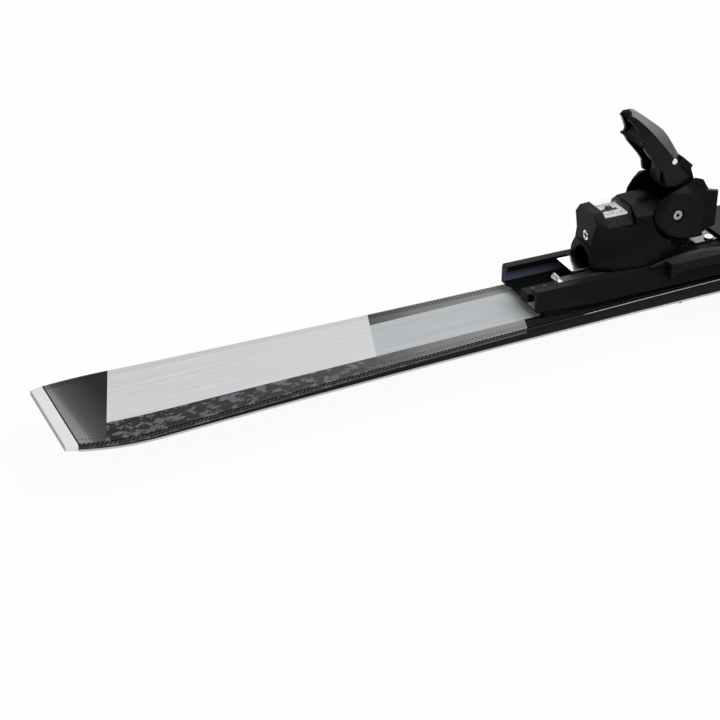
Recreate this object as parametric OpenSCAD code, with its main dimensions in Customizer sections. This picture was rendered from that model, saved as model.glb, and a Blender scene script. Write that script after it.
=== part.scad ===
// Alpine carving ski with a track-mounted release binding.
// X runs towards the tip, Y to the left, Z up, in millimetres.
// The origin is midway between tail and tip, at the level of the open brake's feet.

/* [Ski outline] */
// Length from the end of the tail protector to the end of the tip
ski_l = 1650; // [1600:10:1700]
// Width over the steel edges at the widest point of the tail
tail_w = 105; // [100:0.5:110]
// Width over the steel edges at the waist
waist_w = 72.3; // [72:0.1:76]
// Width over the steel edges at the widest point of the tip
tip_w = 122; // [116:1:128]
// Place of the waist behind the middle of the ski
waist_back = 146; // [120:1:160]
// Length over which the tail draws in behind its widest point
tail_round_l = 70; // [60:1:80]
// Amount that each side draws in over that length
tail_draw_in = 7.2; // [4:0.2:8]
// Length over which the tip rounds off
tip_round_l = 142; // [130:1:160]

/* [Ski side view] */
// Height that the waist of the unloaded ski arches up
camber = 3; // [2:0.5:5]
// Length of the slightly lifted end of the tail
kick_l = 80; // [70:1:90]
// Lift at the very end of the tail
kick_h = 3.8; // [3:0.1:5]
// Length of the turned-up shovel
shovel_l = 150; // [130:1:160]
// Radius of the shovel's upward curve
shovel_r = 260; // [240:5:300]
// Thickness at the tail protector's joint
tail_t = 6.1; // [5.5:0.1:7]
// Thickness under the binding
middle_t = 15.2; // [14:0.1:16.5]
// Thickness at the shovel
tip_t = 5.6; // [5:0.1:6.5]

/* [Ski layers] */
// Height of the steel edges and of the running base between them
edge_h = 1.9; // [1.6:0.1:2.2]
// Width of a steel edge seen from below
edge_w = 2; // [1.6:0.1:2.6]
// Width of a plastic sidewall
sidewall_w = 5; // [4:0.5:7]
// Thickness of the metal sheet under the top sheet
metal_t = 0.6; // [0.4:0.1:0.8]
// Thickness of the printed top sheet
top_sheet_t = 0.8; // [0.6:0.1:1]
// Amount that the sidewall stands back from the steel edge
sidewall_step = 0.7; // [0.5:0.1:1]
// Amount that the top sheet stands back from the steel edge
sheet_step = 1.5; // [1.2:0.1:1.8]
// Length of the plastic protector at the tail
tail_protector_l = 10; // [8:0.5:14]
// Length of the plastic protector at the tip
tip_protector_l = 24; // [18:1:30]

/* [Tracks] */
// Height of the underside of both tracks above the running base
track_h = 21; // [20.5:0.1:22]
// Height of the heel track's lips above its underside
track_lip_h = 18; // [17.5:0.1:18.5]
// Width of the heel track at its foot
track_w = 72; // [70:0.5:72]
// Width of the heel track over its lips
lips_w = 57.8; // [56:0.2:59]
// Gap between the heel track's lips
lips_gap = 43; // [42.5:0.5:44]
// Length of the heel track behind the heel piece's datum
track_rear_l = 127; // [125:1:140]
// Length of the heel track in front of the heel piece's datum
track_front_l = 166; // [160:1:180]
// Radius of the mounting screws' shanks
screw_r = 2.75; // [2.5:0.05:3]
// Depth that the mounting screws bite into the ski
screw_bite = 8; // [7:0.5:9]

/* [Boot] */
// Length of the boot sole that the binding is set for
sole_l = 305; // [295:1:315]
// Place of the boot's middle behind the middle of the ski
boot_back = 111; // [100:1:120]

/* [Heel piece] */
// Height of the jaw's pivot above the running base
pivot_h = 82.3; // [82:0.1:83.5]
// Distance of the jaw's pivot behind the boot's heel
pivot_back = 15.5; // [15:0.5:17]
// Width of the metal carriage plate
plate_w = 24.8; // [23:0.2:26]
// Thickness of the metal carriage plate
plate_t = 1.5; // [1.2:0.1:2]
// Radius of the heel cup
cup_r = 33.5; // [32.5:0.1:34]
// Width over the jaw's cheeks
cheeks_w = 56; // [55.6:0.1:57]
// Height of the lever's pin above the jaw's pivot
lever_pin_up = 46.3; // [46:0.1:47.5]
// Distance of the lever's pin behind the jaw's pivot
lever_pin_back = 2.5; // [2:0.1:3]
// Width over the lever's side walls
lever_w = 40; // [38:0.5:42]

/* [Brake] */
// Distance of the brake's axle in front of the heel piece's datum
brake_front = 111; // [108:1:114]
// Height of the brake's axle above the running base
brake_h = 46; // [45.5:0.5:47]
// Angle of the open brake arms below the level
brake_angle = 65; // [60:1:70]
// Angle that the pedal turns the arms through
brake_swing = 62; // [58:1:64]
// Distance from the axle to the end of a brake foot
brake_arm_l = 106; // [100:1:110]
// Distance of each brake arm from the middle of the ski
brake_arm_y = 46; // [45:0.5:49]
// Radius of the brake wire
wire_r = 3; // [2.5:0.1:3.2]

/* [Toe piece] */
// Height of the underside of the boot's toe above the running base
toe_sole_h = 49.7; // [49.2:0.1:51]
// Distance of the wings' pins in front of the boot's toe
wing_pin_front = 20; // [19:0.5:21]
// Distance of the wings' pins from the middle of the ski
wing_pin_y = 25.5; // [25:0.5:26.5]
// Side travel of the sliding pad to either side
pad_travel = 8; // [6:0.5:9]
// Height that the pad's carrier can be raised
pad_lift = 3.5; // [2:0.5:4]

/* [Release gear] */
// Radius of the spring bores
spring_bore_r = 9; // [8.7:0.1:9.2]
// Radius of the release screws' heads
release_head_r = 4.6; // [4.2:0.1:4.8]
// Radius of the release screws' shanks
release_shank_r = 3.5; // [3:0.1:3.8]
// Travel of the spring nut and its pointer to either side
pointer_travel = 4; // [3:0.5:4]

/* [Fits] */
// Radial clearance of pins, shafts and screws in their bores
run_fit = 0.06; // [0.04:0.01:0.1]
// Gap between sliding faces
slide_gap = 0.3; // [0.25:0.05:0.4]

/* [Hidden] */

half_l = ski_l / 2;
waist_x = -waist_back;
boot_x = -boot_back;
tail_wide_x = -half_l + tail_round_l;
tip_wide_x = half_l - tip_round_l;
tail_joint_x = -half_l + tail_protector_l;
tip_joint_x = half_l - tip_protector_l;
kick_x = -half_l + kick_l;
shovel_x = half_l - shovel_l;
thick_from_x = -112;
thick_to_x = 60;
tip_thin_x = 610;

track_top = track_h + track_lip_h;
pivot_x = 7;
heel_gap = pivot_back + pivot_x;
heel_x = boot_x - sole_l / 2 - heel_gap;
lever_x = pivot_x - lever_pin_back;
toe_x = boot_x + sole_l / 2;
brake_x = heel_x + brake_front;
foot_toe = 2;
foot_drop = brake_arm_l * sin(brake_angle) + foot_toe * cos(brake_angle);
base_z = foot_drop - brake_h;

INK = "#1b1b1c";
SATIN = "#262628";
CHROME = "#c9cbce";
STEEL = "#9a9ca0";
WHITE = "#e9e7e7";
GREY = "#b9bcbf";

// Outline of the ski

// Half width over the steel edges at a place along the ski: two sidecut curves that meet at
// the waist, a drawn-in tail and a rounded tip.
function sidecut(x, wide_x, w) = waist_w / 2 + (w - waist_w) / 2 * pow((x - waist_x) / (wide_x - waist_x), 2);
function sidecut_slope(wide_x, w) = (w - waist_w) / abs(wide_x - waist_x);
function tail_half(past) = tail_w / 2 + sidecut_slope(tail_wide_x, tail_w) * past
    - (sidecut_slope(tail_wide_x, tail_w) * tail_round_l + tail_draw_in) * pow(past / tail_round_l, 2);
function tip_half(past) = (tip_w / 2 + sidecut_slope(tip_wide_x, tip_w) * past)
    * pow(max(0, 1 - pow(past / tip_round_l, 2.4)), 0.55);
function edge_half(x) = x < tail_wide_x ? tail_half(tail_wide_x - x)
    : x > tip_wide_x ? tip_half(x - tip_wide_x)
    : x < waist_x ? sidecut(x, tail_wide_x, tail_w) : sidecut(x, tip_wide_x, tip_w);

TAIL_STEPS = 6;
MIDDLE_STEPS = 34;
TIP_STEPS = 12;
outline_x = concat(
    [for (i = [0:TAIL_STEPS]) -half_l + i * tail_round_l / TAIL_STEPS],
    [for (i = [1:MIDDLE_STEPS]) tail_wide_x + i * (tip_wide_x - tail_wide_x) / MIDDLE_STEPS],
    [for (i = [1:TIP_STEPS]) tip_wide_x + tip_round_l * sin(90 * i / TIP_STEPS)]);

// Plan of the ski, drawn in by inset on both sides.
module plan(inset) {
    upper = [for (x = outline_x) if (edge_half(x) > inset + 0.4) [x, edge_half(x) - inset]];
    lower = [for (i = [len(upper) - 1:-1:0]) [upper[i][0], -upper[i][1]]];
    polygon(concat(upper, [[half_l, 0]], lower));
}

// Side view of the ski

function running_z(x) = x < kick_x ? kick_h * pow((kick_x - x) / kick_l, 2)
    : x > shovel_x ? shovel_r - sqrt(pow(shovel_r, 2) - pow(x - shovel_x, 2))
    : camber * sin(180 * (x - kick_x) / (shovel_x - kick_x));
function ski_t(x) = lookup(x, [[-half_l, tail_t - 1.5], [tail_joint_x, tail_t], [thick_from_x, middle_t],
    [thick_to_x, middle_t], [tip_thin_x, tip_t + 0.8], [half_l, tip_t]]);
side_x = concat([-half_l],
    [for (i = [0:5]) tail_joint_x + i * (kick_x - tail_joint_x) / 5],
    [for (i = [1:30]) kick_x + i * (shovel_x - kick_x) / 30],
    [for (i = [1:12]) shovel_x + i * shovel_l / 12]);
under_line = [for (x = side_x) [x, running_z(x)]];
top_line = [for (x = side_x) [x, running_z(x) + ski_t(x)]];
function ski_top(x) = lookup(x, top_line);
function reversed(list) = [for (i = [len(list) - 1:-1:0]) list[i]];
function raised(line, up) = [for (p = line) [p[0], p[1] + up]];

// Full-width band of the side view between two lines, stood upright across the ski.
module across(points, width) {
    rotate([90, 0, 0]) linear_extrude(width, center = true) polygon(points);
}
module band(lower_line, upper_line) {
    across(concat(lower_line, reversed(upper_line)), 2 * tip_w);
}
module trimmed(from_x, to_x) {
    intersection() {
        children();
        translate([from_x, -tip_w, -10]) cube([to_x - from_x, 2 * tip_w, 120]);
    }
}
module layer(from_line, to_line, inset) {
    translate([0, 0, base_z]) intersection() {
        band(from_line, to_line);
        translate([0, 0, -1]) linear_extrude(120) plan(inset);
    }
}

// Places of the mounting screws, as [x, y]
heel_screw_x = [heel_x - 50, heel_x + 41, heel_x + 132];
heel_screw_y = 18.8;
heel_screws = [for (x = heel_screw_x, side = [-1, 1]) [x, side * heel_screw_y]];
toe_screw_places = [for (x = [toe_x - 5, toe_x + 112.5], side = [-1, 1]) [x, side * 12.5]];
screw_places = concat(heel_screws, toe_screw_places);
module screw_holes(r) {
    for (p = screw_places)
        translate([p[0], p[1], base_z + ski_top(p[0]) - screw_bite]) cylinder(h = 60, r = r, $fn = 32);
}

// Countersunk cross-head screw hanging from its head's flat top at the origin.
module cross_screw(head_r, head_h, shank_r, length) {
    difference() {
        union() {
            translate([0, 0, -length]) cylinder(h = length, r = shank_r, $fn = 32);
            translate([0, 0, -head_h]) cylinder(h = head_h, r = head_r, $fn = 40);
        }
        for (turn = [0, 90]) rotate(turn)
            translate([-head_r * 0.62, -head_r * 0.13, -head_h * 0.6])
                cube([head_r * 1.24, head_r * 0.26, head_h]);
    }
}

// Solid carried through cross-sections that lie across an axis. Each section is
// [place, points], with points as [y, z] on x, [x, z] on y and [x, y] on z.
function spot(axis, at, p) = axis == "x" ? [at, p[0], p[1]] : axis == "y" ? [p[0], at, p[1]] : [p[0], p[1], at];
function shoelace(p) = [for (i = [0:len(p) - 1])
    p[i][0] * p[(i + 1) % len(p)][1] - p[(i + 1) % len(p)][0] * p[i][1]];
function sum(list, i = 0) = i >= len(list) ? 0 : list[i] + sum(list, i + 1);
module loft(axis, sections) {
    n = len(sections[0][1]);
    last = len(sections) - 1;
    ccw = sum(shoelace(sections[0][1])) > 0;
    flip = axis == "y" ? ccw : !ccw;
    rings = [for (s = sections) for (p = flip ? reversed(s[1]) : s[1]) spot(axis, s[0], p)];
    sides = [for (k = [0:last - 1], i = [0:n - 1], half = [0, 1])
        let (a = k * n + i, b = k * n + (i + 1) % n)
        half == 0 ? [a, a + n, b + n] : [a, b + n, b]];
    polyhedron(rings, concat([[for (i = [0:n - 1]) i]], sides, [[for (i = [n - 1:-1:0]) last * n + i]]));
}
// Closed outline from its left half, listed from the bottom up as [y, z].
function both_sides(half) = concat(half, [for (p = reversed(half)) [-p[0], p[1]]]);
module along(x0, x1, points) {
    translate([x0, 0, 0]) rotate([90, 0, 90]) linear_extrude(x1 - x0) polygon(points);
}
module each_side() {
    children();
    mirror([0, 1, 0]) children();
}

// The ski

module base_sheet() {
    color(GREY) trimmed(tail_joint_x, tip_joint_x) layer(under_line, raised(under_line, edge_h), edge_w);
}

module steel_edges() {
    color(STEEL) trimmed(tail_joint_x, tip_joint_x) difference() {
        layer(under_line, raised(under_line, edge_h), 0);
        layer(raised(under_line, -1), raised(under_line, edge_h + 1), edge_w);
    }
}

core_top = raised(top_line, -top_sheet_t - metal_t);
module wood_core() {
    color("#c9a877") difference() {
        trimmed(tail_joint_x, tip_joint_x)
            layer(raised(under_line, edge_h), core_top, sidewall_step + sidewall_w);
        screw_holes(screw_r + run_fit);
    }
}

module sidewalls() {
    color("#202021") trimmed(tail_joint_x, tip_joint_x) difference() {
        layer(raised(under_line, edge_h), core_top, sidewall_step);
        layer(under_line, raised(top_line, 1), sidewall_step + sidewall_w);
    }
}

module metal_sheet() {
    color("#d4d6d8") difference() {
        trimmed(tail_joint_x, tip_joint_x)
            layer(core_top, raised(top_line, -top_sheet_t), (sidewall_step + sheet_step) / 2);
        screw_holes(screw_r + run_fit);
    }
}

module top_sheet() {
    color(GREY) difference() {
        trimmed(tail_joint_x, tip_joint_x)
            layer(raised(top_line, -top_sheet_t), top_line, sheet_step);
        screw_holes(screw_r + run_fit);
    }
}

module tail_protector() {
    color(WHITE) trimmed(-half_l - 1, tail_joint_x) layer(under_line, top_line, sheet_step / 2);
}

module tip_protector() {
    color(WHITE) trimmed(tip_joint_x, half_l + 1) layer(under_line, top_line, sheet_step / 2);
}

// Tracks

// Rubber pad that fills the space between the ski and the flat underside of a track.
module riser(from_x, to_x, width) {
    inner = [for (p = top_line) if (p[0] > from_x && p[0] < to_x) p];
    line = concat([[from_x, ski_top(from_x)]], inner, [[to_x, ski_top(to_x)]]);
    difference() {
        translate([0, 0, base_z])
            across(concat(line, [[to_x, track_h], [from_x, track_h]]), width);
        screw_holes(screw_r + run_fit);
    }
}

track_floor = 2;
block_top = track_h + 9.7;
block_half = 15;
block_far = 3;
lip_t = 5;
channel_half = lips_gap / 2 + 5;
rack_half = 1.6;
rack_y = -(block_half + 0.2 + rack_half);
module heel_riser() { color("#151516") riser(heel_x - track_rear_l + 9, heel_x + track_front_l - 6, track_w - 14); }

module heel_track() {
    half = [[track_w / 2, track_h], [lips_w / 2 + 3.2, track_top - 5.5], [lips_w / 2, track_top],
        [lips_gap / 2, track_top], [lips_gap / 2, track_top - lip_t], [channel_half, track_top - lip_t],
        [channel_half, track_h + track_floor]];
    block = [[-block_far, track_h + track_floor], [-block_far, block_top], [-block_half, block_top],
        [-block_half, track_h + track_floor]];
    profile = concat(half, block, [for (p = reversed(half)) [-p[0], p[1]]]);
    rear = heel_x - track_rear_l;
    taper_l = 57;
    taper = 5.4;
    color(INK) difference() {
        intersection() {
            translate([0, 0, base_z]) along(rear, heel_x + track_front_l, profile);
            linear_extrude(400) polygon([[rear, -track_w / 2 + taper], [rear + taper_l, -track_w / 2],
                [heel_x + track_front_l, -track_w / 2], [heel_x + track_front_l, track_w / 2],
                [rear + taper_l, track_w / 2], [rear, track_w / 2 - taper]]);
        }
        screw_holes(screw_r + run_fit);
        translate([rear - 16, 9, base_z]) cylinder(h = track_h + block_top, r = 20, $fn = 64);
    }
}

// Toothed steel strip in the near channel, which the lock tab's tooth drops into.
rack_h = 2.4;
tooth_pitch = 4;
tab_tooth_x = heel_x - 78;
module lock_rack() {
    rack_l = 56;
    rack_x = heel_x - 118;
    gap_l = tooth_pitch * 0.65;
    count = floor((rack_l - 6) / tooth_pitch);
    color(STEEL) translate([0, rack_y - rack_half, base_z + track_h + track_floor]) difference() {
        translate([rack_x, 0, 0]) cube([rack_l, 2 * rack_half, rack_h + 1.6]);
        for (i = [-count:count]) let (x = tab_tooth_x - gap_l / 2 + i * tooth_pitch)
            if (x > rack_x + 2 && x < rack_x + rack_l - gap_l - 2)
                translate([x, -1, rack_h]) cube([gap_l, 2 * rack_half + 2, 5]);
    }
}

module heel_track_screws() {
    head_h = 2.2;
    color(STEEL) for (p = heel_screws)
        translate([p[0], p[1], base_z + track_h + track_floor + head_h])
            cross_screw(3.5, head_h, screw_r, track_h + track_floor + head_h - ski_top(p[0]) + screw_bite);
}

// Heel carriage, which slides along the track to fit the boot

plate_z = track_top + 1.9;
carriage_rear = heel_x - 84.5;
carriage_front = heel_x + 62;
plate_front = heel_x + 74;
neck_half = lips_gap / 2 - 1;
foot_out = channel_half - 1;
tab_half = (lips_gap / 2 - 0.9 - plate_w / 2) / 2;
tab_y = -(plate_w / 2 + 0.5 + tab_half);
tab_z = track_top - 1.2;
tab_t = 1.6;
tab_pin = [heel_x - 58, tab_z - 1.6];
module heel_carriage() {
    foot_top = track_top - lip_t - slide_gap;
    half = [[17, block_top + slide_gap], [17, foot_top - 5], [foot_out, foot_top - 5],
        [foot_out, foot_top], [neck_half, foot_top], [neck_half, plate_z]];
    color(SATIN) difference() {
        translate([0, 0, base_z]) along(heel_x - 73, carriage_front, both_sides(half));
        translate([carriage_rear - 1, -40, base_z + track_h])
            cube([tab_pin[0] + 5 - carriage_rear, 40 - plate_w / 2 - 0.2, 40]);
        translate([tab_pin[0], 0, base_z + tab_pin[1]]) rotate([90, 0, 0])
            cylinder(h = neck_half + 5, r = 1.5, $fn = 24);
        each_side() translate([heel_x + 54, 8.8, base_z]) cylinder(h = plate_z + 1, r = 2 + run_fit, $fn = 24);
    }
}

module carriage_plate() {
    notch_x = heel_x + 33;
    color(CHROME) difference() {
        translate([carriage_rear, -plate_w / 2, base_z + plate_z])
            cube([plate_front - carriage_rear, plate_w, plate_t]);
        translate([notch_x, -plate_w / 2 - 1, base_z]) cube([5, 5, 60]);
        each_side() translate([heel_x + 54, 8.8, base_z]) cylinder(h = 60, r = 2 + run_fit, $fn = 24);
    }
}

module plate_screws() {
    color(CHROME) each_side() translate([heel_x + 54, 8.8, base_z + plate_z + plate_t + 1.8])
        cross_screw(3.8, 1.8, 2, 10);
}

// Steel tab with a curled end: lifted, its tooth leaves the rack and the carriage slides. The tooth
// stands at the front of its gap, because it swings rearwards as the tab lifts.
module lock_tab() {
    curl_r = 3.4;
    rear_x = heel_x - 101;
    tooth_l = tooth_pitch * 0.35;
    color(STEEL) translate([0, 0, base_z]) difference() {
        union() {
            translate([rear_x, tab_y - tab_half, tab_z]) cube([tab_pin[0] - rear_x, 2 * tab_half, tab_t]);
            translate([rear_x, tab_y, tab_z + curl_r]) rotate([90, 0, 0]) difference() {
                cylinder(h = 2 * tab_half, r = curl_r, center = true, $fn = 40);
                cylinder(h = 30, r = curl_r - tab_t, center = true, $fn = 40);
                translate([0, -20, -20]) cube([20, 40, 40]);
            }
            translate([tab_pin[0], tab_y, tab_pin[1]]) rotate([90, 0, 0])
                cylinder(h = 2 * tab_half, r = 3.2, center = true, $fn = 40);
            translate([tab_tooth_x - tooth_l * 0.35, rack_y - rack_half + 0.2, track_h + track_floor + rack_h + 0.3])
                cube([tooth_l, 2 * rack_half - 0.4, tab_z - track_h - track_floor - rack_h]);
        }
        translate([tab_pin[0], 0, tab_pin[1]]) rotate([90, 0, 0])
            cylinder(h = 40, r = 1.5 + run_fit, $fn = 32);
    }
}

module lock_tab_pin() {
    color(CHROME) translate([tab_pin[0], -plate_w / 2 + 3, base_z + tab_pin[1]]) rotate([90, 0, 0])
        cylinder(h = neck_half - plate_w / 2 + 2, r = 1.5, $fn = 32);
}

// Heel housing

jaw_up = pivot_h - 82.3;
mech_z = pivot_h - 16;
rear_face = -66;
spring_from = -36.8;
spring_to = -13;
nut_from = -47.5;
nut_l = 6;
recess_from = -57;
recess_to = -29.5;
scale_z = pivot_h - 4.3;
pocket_y = 21.8;
housing_front = 16.5;
module heel_shell() {
    top = plate_z;
    up = jaw_up;
    loft("x", [
        [rear_face - 1.5, both_sides([[18.6, top], [18.6, 48], [16.8, 53], [12.6, 57], [9, 58.8], [5, 59.4]])],
        [rear_face - 0.1, both_sides([[19.9, top], [19.4, 50.5], [15, 58.5], [11.4, 60.4], [8, 60.9], [5, 61]])],
        [rear_face, both_sides([[20, top], [19.5, 50], [12.5, 62 + up], [13, 72 + up],
            [17, 82 + up], [10.9, 90.5 + up]])],
        [-59, both_sides([[23, top], [22.5, 52], [16, 63 + up], [16, 73 + up],
            [20, 82 + up], [11.1, 90.8 + up]])],
        [-28, both_sides([[26.5, top], [27, 56], [24.5, 65 + up], [23, 75 + up],
            [20, 84 + up], [11.3, 92 + up]])],
        [-8, both_sides([[28, top], [29, 56], [28.5, 66 + up], [27, 77 + up],
            [23, 85.5 + up], [12, 92.5 + up]])],
        [4, both_sides([[28, top + 1], [29, 56], [28.5, 66 + up], [27, 77 + up],
            [23, 84.5 + up], [12, 89 + up]])],
        [housing_front, both_sides([[20, 46], [23, 56], [22.5, 66 + up], [21.5, 74 + up],
            [18, 79 + up], [12, 81 + up]])]]);
    each_side() translate([pivot_x, 10, pivot_h]) rotate([-90, 0, 0])
        cylinder(h = pocket_y - 10, r = 8.4, $fn = 48);
}

// Round pocket in the housing's side that a cheek turns in, open towards the boot.
module cheek_pocket() {
    translate([pivot_x, pocket_y, pivot_h]) rotate([-90, 0, 0]) cylinder(h = 20, r = cheek_r + 0.8, $fn = 96);
    translate([pivot_x - 5.5, pocket_y, pivot_h - 26.8]) cube([30, 20, 60]);
}

module heel_housing() {
    arch_r = 12;
    arch_z = 44;
    color(INK) translate([heel_x, 0, base_z]) {
        difference() {
            heel_shell();
            each_side() cheek_pocket();
            translate([rear_face - 10, 0, arch_z]) rotate([0, 90, 0]) cylinder(h = 26, r = arch_r, $fn = 48);
            translate([rear_face - 10, -arch_r, 30]) cube([26, 2 * arch_r, arch_z - 30]);
            translate([-120, -plate_w / 2 - 0.1, 30]) cube([200, plate_w + 0.2, plate_z + plate_t - 30]);
            translate([tab_pin[0] - heel_x - 40, -40, 30]) cube([44, 27.4, plate_z - 30 + 2.2]);
            translate([rear_face - 2, 0, mech_z]) rotate([0, 90, 0])
                cylinder(h = 7.2, r = release_head_r + 0.4, $fn = 48);
            translate([rear_face - 2, 0, mech_z]) rotate([0, 90, 0])
                cylinder(h = 20, r = release_shank_r + run_fit, $fn = 40);
            translate([nut_from - 5, 0, mech_z]) rotate([0, 90, 0])
                cylinder(h = 80, r = spring_bore_r, $fn = 64);
            translate([nut_from + nut_l / 2 - pointer_travel - 2.6, -2.6, mech_z])
                cube([2 * pointer_travel + 5.2, 5.2, 20]);
            translate([recess_from, -40, scale_z]) cube([recess_to - recess_from, 80, 40]);
            translate([pivot_x, 0, pivot_h]) rotate([90, 0, 0])
                cylinder(h = 100, r = 3, center = true, $fn = 40);
        }
        translate([0, 0, scale_z - 0.5]) scale_block(heel_scale_x, 22, scale_foot + 0.5, nut_from + nut_l / 2);
    }
}

module heel_pivot_screws() {
    color(CHROME) translate([heel_x + pivot_x, 0, base_z + pivot_h]) each_side() rotate([-90, 0, 0])
        difference() {
            union() {
                translate([0, 0, 11]) cylinder(h = cheeks_w / 2 - 3 - 11, r = 3, $fn = 40);
                translate([0, 0, cheeks_w / 2 - 3]) cylinder(h = 2.6, r = 4.2, $fn = 48);
            }
            translate([0, 0, cheeks_w / 2 - 2]) cylinder(h = 4, r = 1.7, $fn = 6);
        }
}

// Release gear shared by heel and toe: screw head at the origin, gear running along +X.

head_l = 3;
module release_screw(length) {
    color(CHROME) rotate([0, 90, 0]) difference() {
        union() {
            cylinder(h = head_l, r = release_head_r, $fn = 48);
            cylinder(h = length, r = release_shank_r, $fn = 40);
        }
        for (turn = [0, 90]) rotate(turn)
            translate([-release_head_r * 0.75, -0.7, -1]) cube([release_head_r * 1.5, 1.4, 2.4]);
    }
}

module spring_tube(from, to) {
    wire = 2.2;
    color(STEEL) translate([from, 0, 0]) rotate([0, 90, 0]) difference() {
        cylinder(h = to - from, r = spring_bore_r - 0.5, $fn = 48);
        translate([0, 0, -1]) cylinder(h = to - from + 2, r = spring_bore_r - 0.5 - wire, $fn = 48);
    }
}

module spring_nut(from, arm_top) {
    color(STEEL) difference() {
        union() {
            translate([from, 0, 0]) rotate([0, 90, 0])
                cylinder(h = nut_l, r = spring_bore_r - slide_gap, $fn = 48);
            translate([from + nut_l / 2 - 2, -2, release_shank_r + 2]) cube([4, 4, arm_top - release_shank_r - 2]);
        }
        translate([from - 1, 0, 0]) rotate([0, 90, 0])
            cylinder(h = nut_l + 2, r = release_shank_r + run_fit, $fn = 40);
    }
}

module heel_gear() { translate([heel_x, 0, base_z + mech_z]) children(); }
module heel_spring() { heel_gear() spring_tube(spring_from, spring_to); }
module heel_piston() {
    color(STEEL) heel_gear() translate([spring_to, 0, 0]) rotate([0, 90, 0]) {
        cylinder(h = 20, r = spring_bore_r - slide_gap, $fn = 48);
        cylinder(h = 25, r = 5, $fn = 40);
    }
}
module heel_screw() { heel_gear() translate([rear_face + 0.6, 0, 0]) release_screw(48); }
pointer_z = scale_z + 7;
module heel_spring_nut() { heel_gear() spring_nut(nut_from, pointer_z - mech_z); }

// Block that carries a scale, grooved for the pointer: a white plate lies on the housing's own foot.
scale_half_l = 11;
scale_foot = 6.4;
scale_t = 1.6;
module scale_block(mid, width, height, groove_mid) {
    groove = 2 * pointer_travel + 8.6;
    difference() {
        translate([mid - scale_half_l, -width / 2, 0]) cube([2 * scale_half_l, width, height]);
        translate([groove_mid - groove / 2, -2.6, -1]) cube([groove, 5.2, height + 2]);
    }
}
module cover_block(mid, width, base_width, height, inner) {
    side = [[base_width / 2, 0], [width / 2, height]];
    difference() {
        along(mid - scale_half_l - 1.6, mid + scale_half_l + 1.6, both_sides(side));
        translate([mid - scale_half_l - 0.15, -inner / 2 - 0.15, -1])
            cube([2 * scale_half_l + 0.3, inner + 0.3, height - 0.6]);
    }
}
heel_scale_x = nut_from + nut_l / 2 + 1.2;
module heel_scale() {
    color(WHITE) translate([heel_x, 0, base_z + scale_z + scale_foot])
        scale_block(heel_scale_x, 22, scale_t, nut_from + nut_l / 2);
}
module heel_window() {
    color("#dfe4e8", 0.4) translate([heel_x, 0, base_z + scale_z])
        cover_block(heel_scale_x, 24, 37, 12.6, 22);
}
module heel_pointer() {
    color("#2b2b2d") translate([heel_x + nut_from + nut_l / 2, 0, base_z + pointer_z])
        translate([-2.4, -2.4, 0]) cube([4.8, 4.8, 3.6]);
}

// Heel jaw: two cheeks on the pivots, a cup behind the boot and ears for the lever

cheek_in = pocket_y + 0.4;
cheek_r = 21.4;
cup_mid = heel_gap + cup_r;
cup_t = 3.5;
ear_half = lever_w / 2 - 6;
hub_half = 7;
hub_r = 6;
cup_low = 60;
cup_high = pivot_h + 18.7;
module heel_cheek() {
    rim = [[-13.5, 82.3], [-12.2, 89.8], [-7.8, 96.6], [0, 101.6], [8, 104.2], [15, 106.3], [24.4, 111.5],
        [32.2, 108.8], [40, 102], [44, 95], [45, 85], [44, 70], [35, 58.5], [22, 55.6], [9, 57.8], [-1.6, 62.3],
        [-9, 68.8], [-12.6, 75.4]];
    face = [[-9.1, 82], [-7, 89], [-3.6, 95.8], [1.1, 100.6], [9, 101.2], [16, 101.6], [24, 101.8],
        [32, 101], [38.5, 97.6], [43, 94], [44.5, 85], [43.5, 73], [35, 62.5], [22.4, 58.8], [10.8, 60.6],
        [4, 63.2], [-1.3, 66.4], [-6.3, 73.5]];
    translate([0, 0, jaw_up]) loft("y", [[cheek_in, rim], [cheek_in + 1.4, rim], [cheeks_w / 2, face]]);
}

module cup_wall(r_in, r_out, low, high) {
    spread = 66;
    translate([cup_mid, 0, low]) linear_extrude(high - low) difference() {
        circle(r = r_out, $fn = 96);
        circle(r = r_in, $fn = 96);
        polygon([[0, 0], [-60 * cos(spread), 60 * sin(spread)], [0, 90], [90, 90], [90, -90], [0, -90],
            [-60 * cos(spread), -60 * sin(spread)]]);
    }
}

// The cup's wall, cut off on a slant below, where it runs out into the cheeks.
module cup() {
    intersection() {
        cup_wall(cup_r, cup_r + cup_t, cup_low, cup_high);
        across([[10, cup_low], [27, cup_low], [45, 72], [45, cup_high], [10, cup_high]], 100);
    }
}

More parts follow.
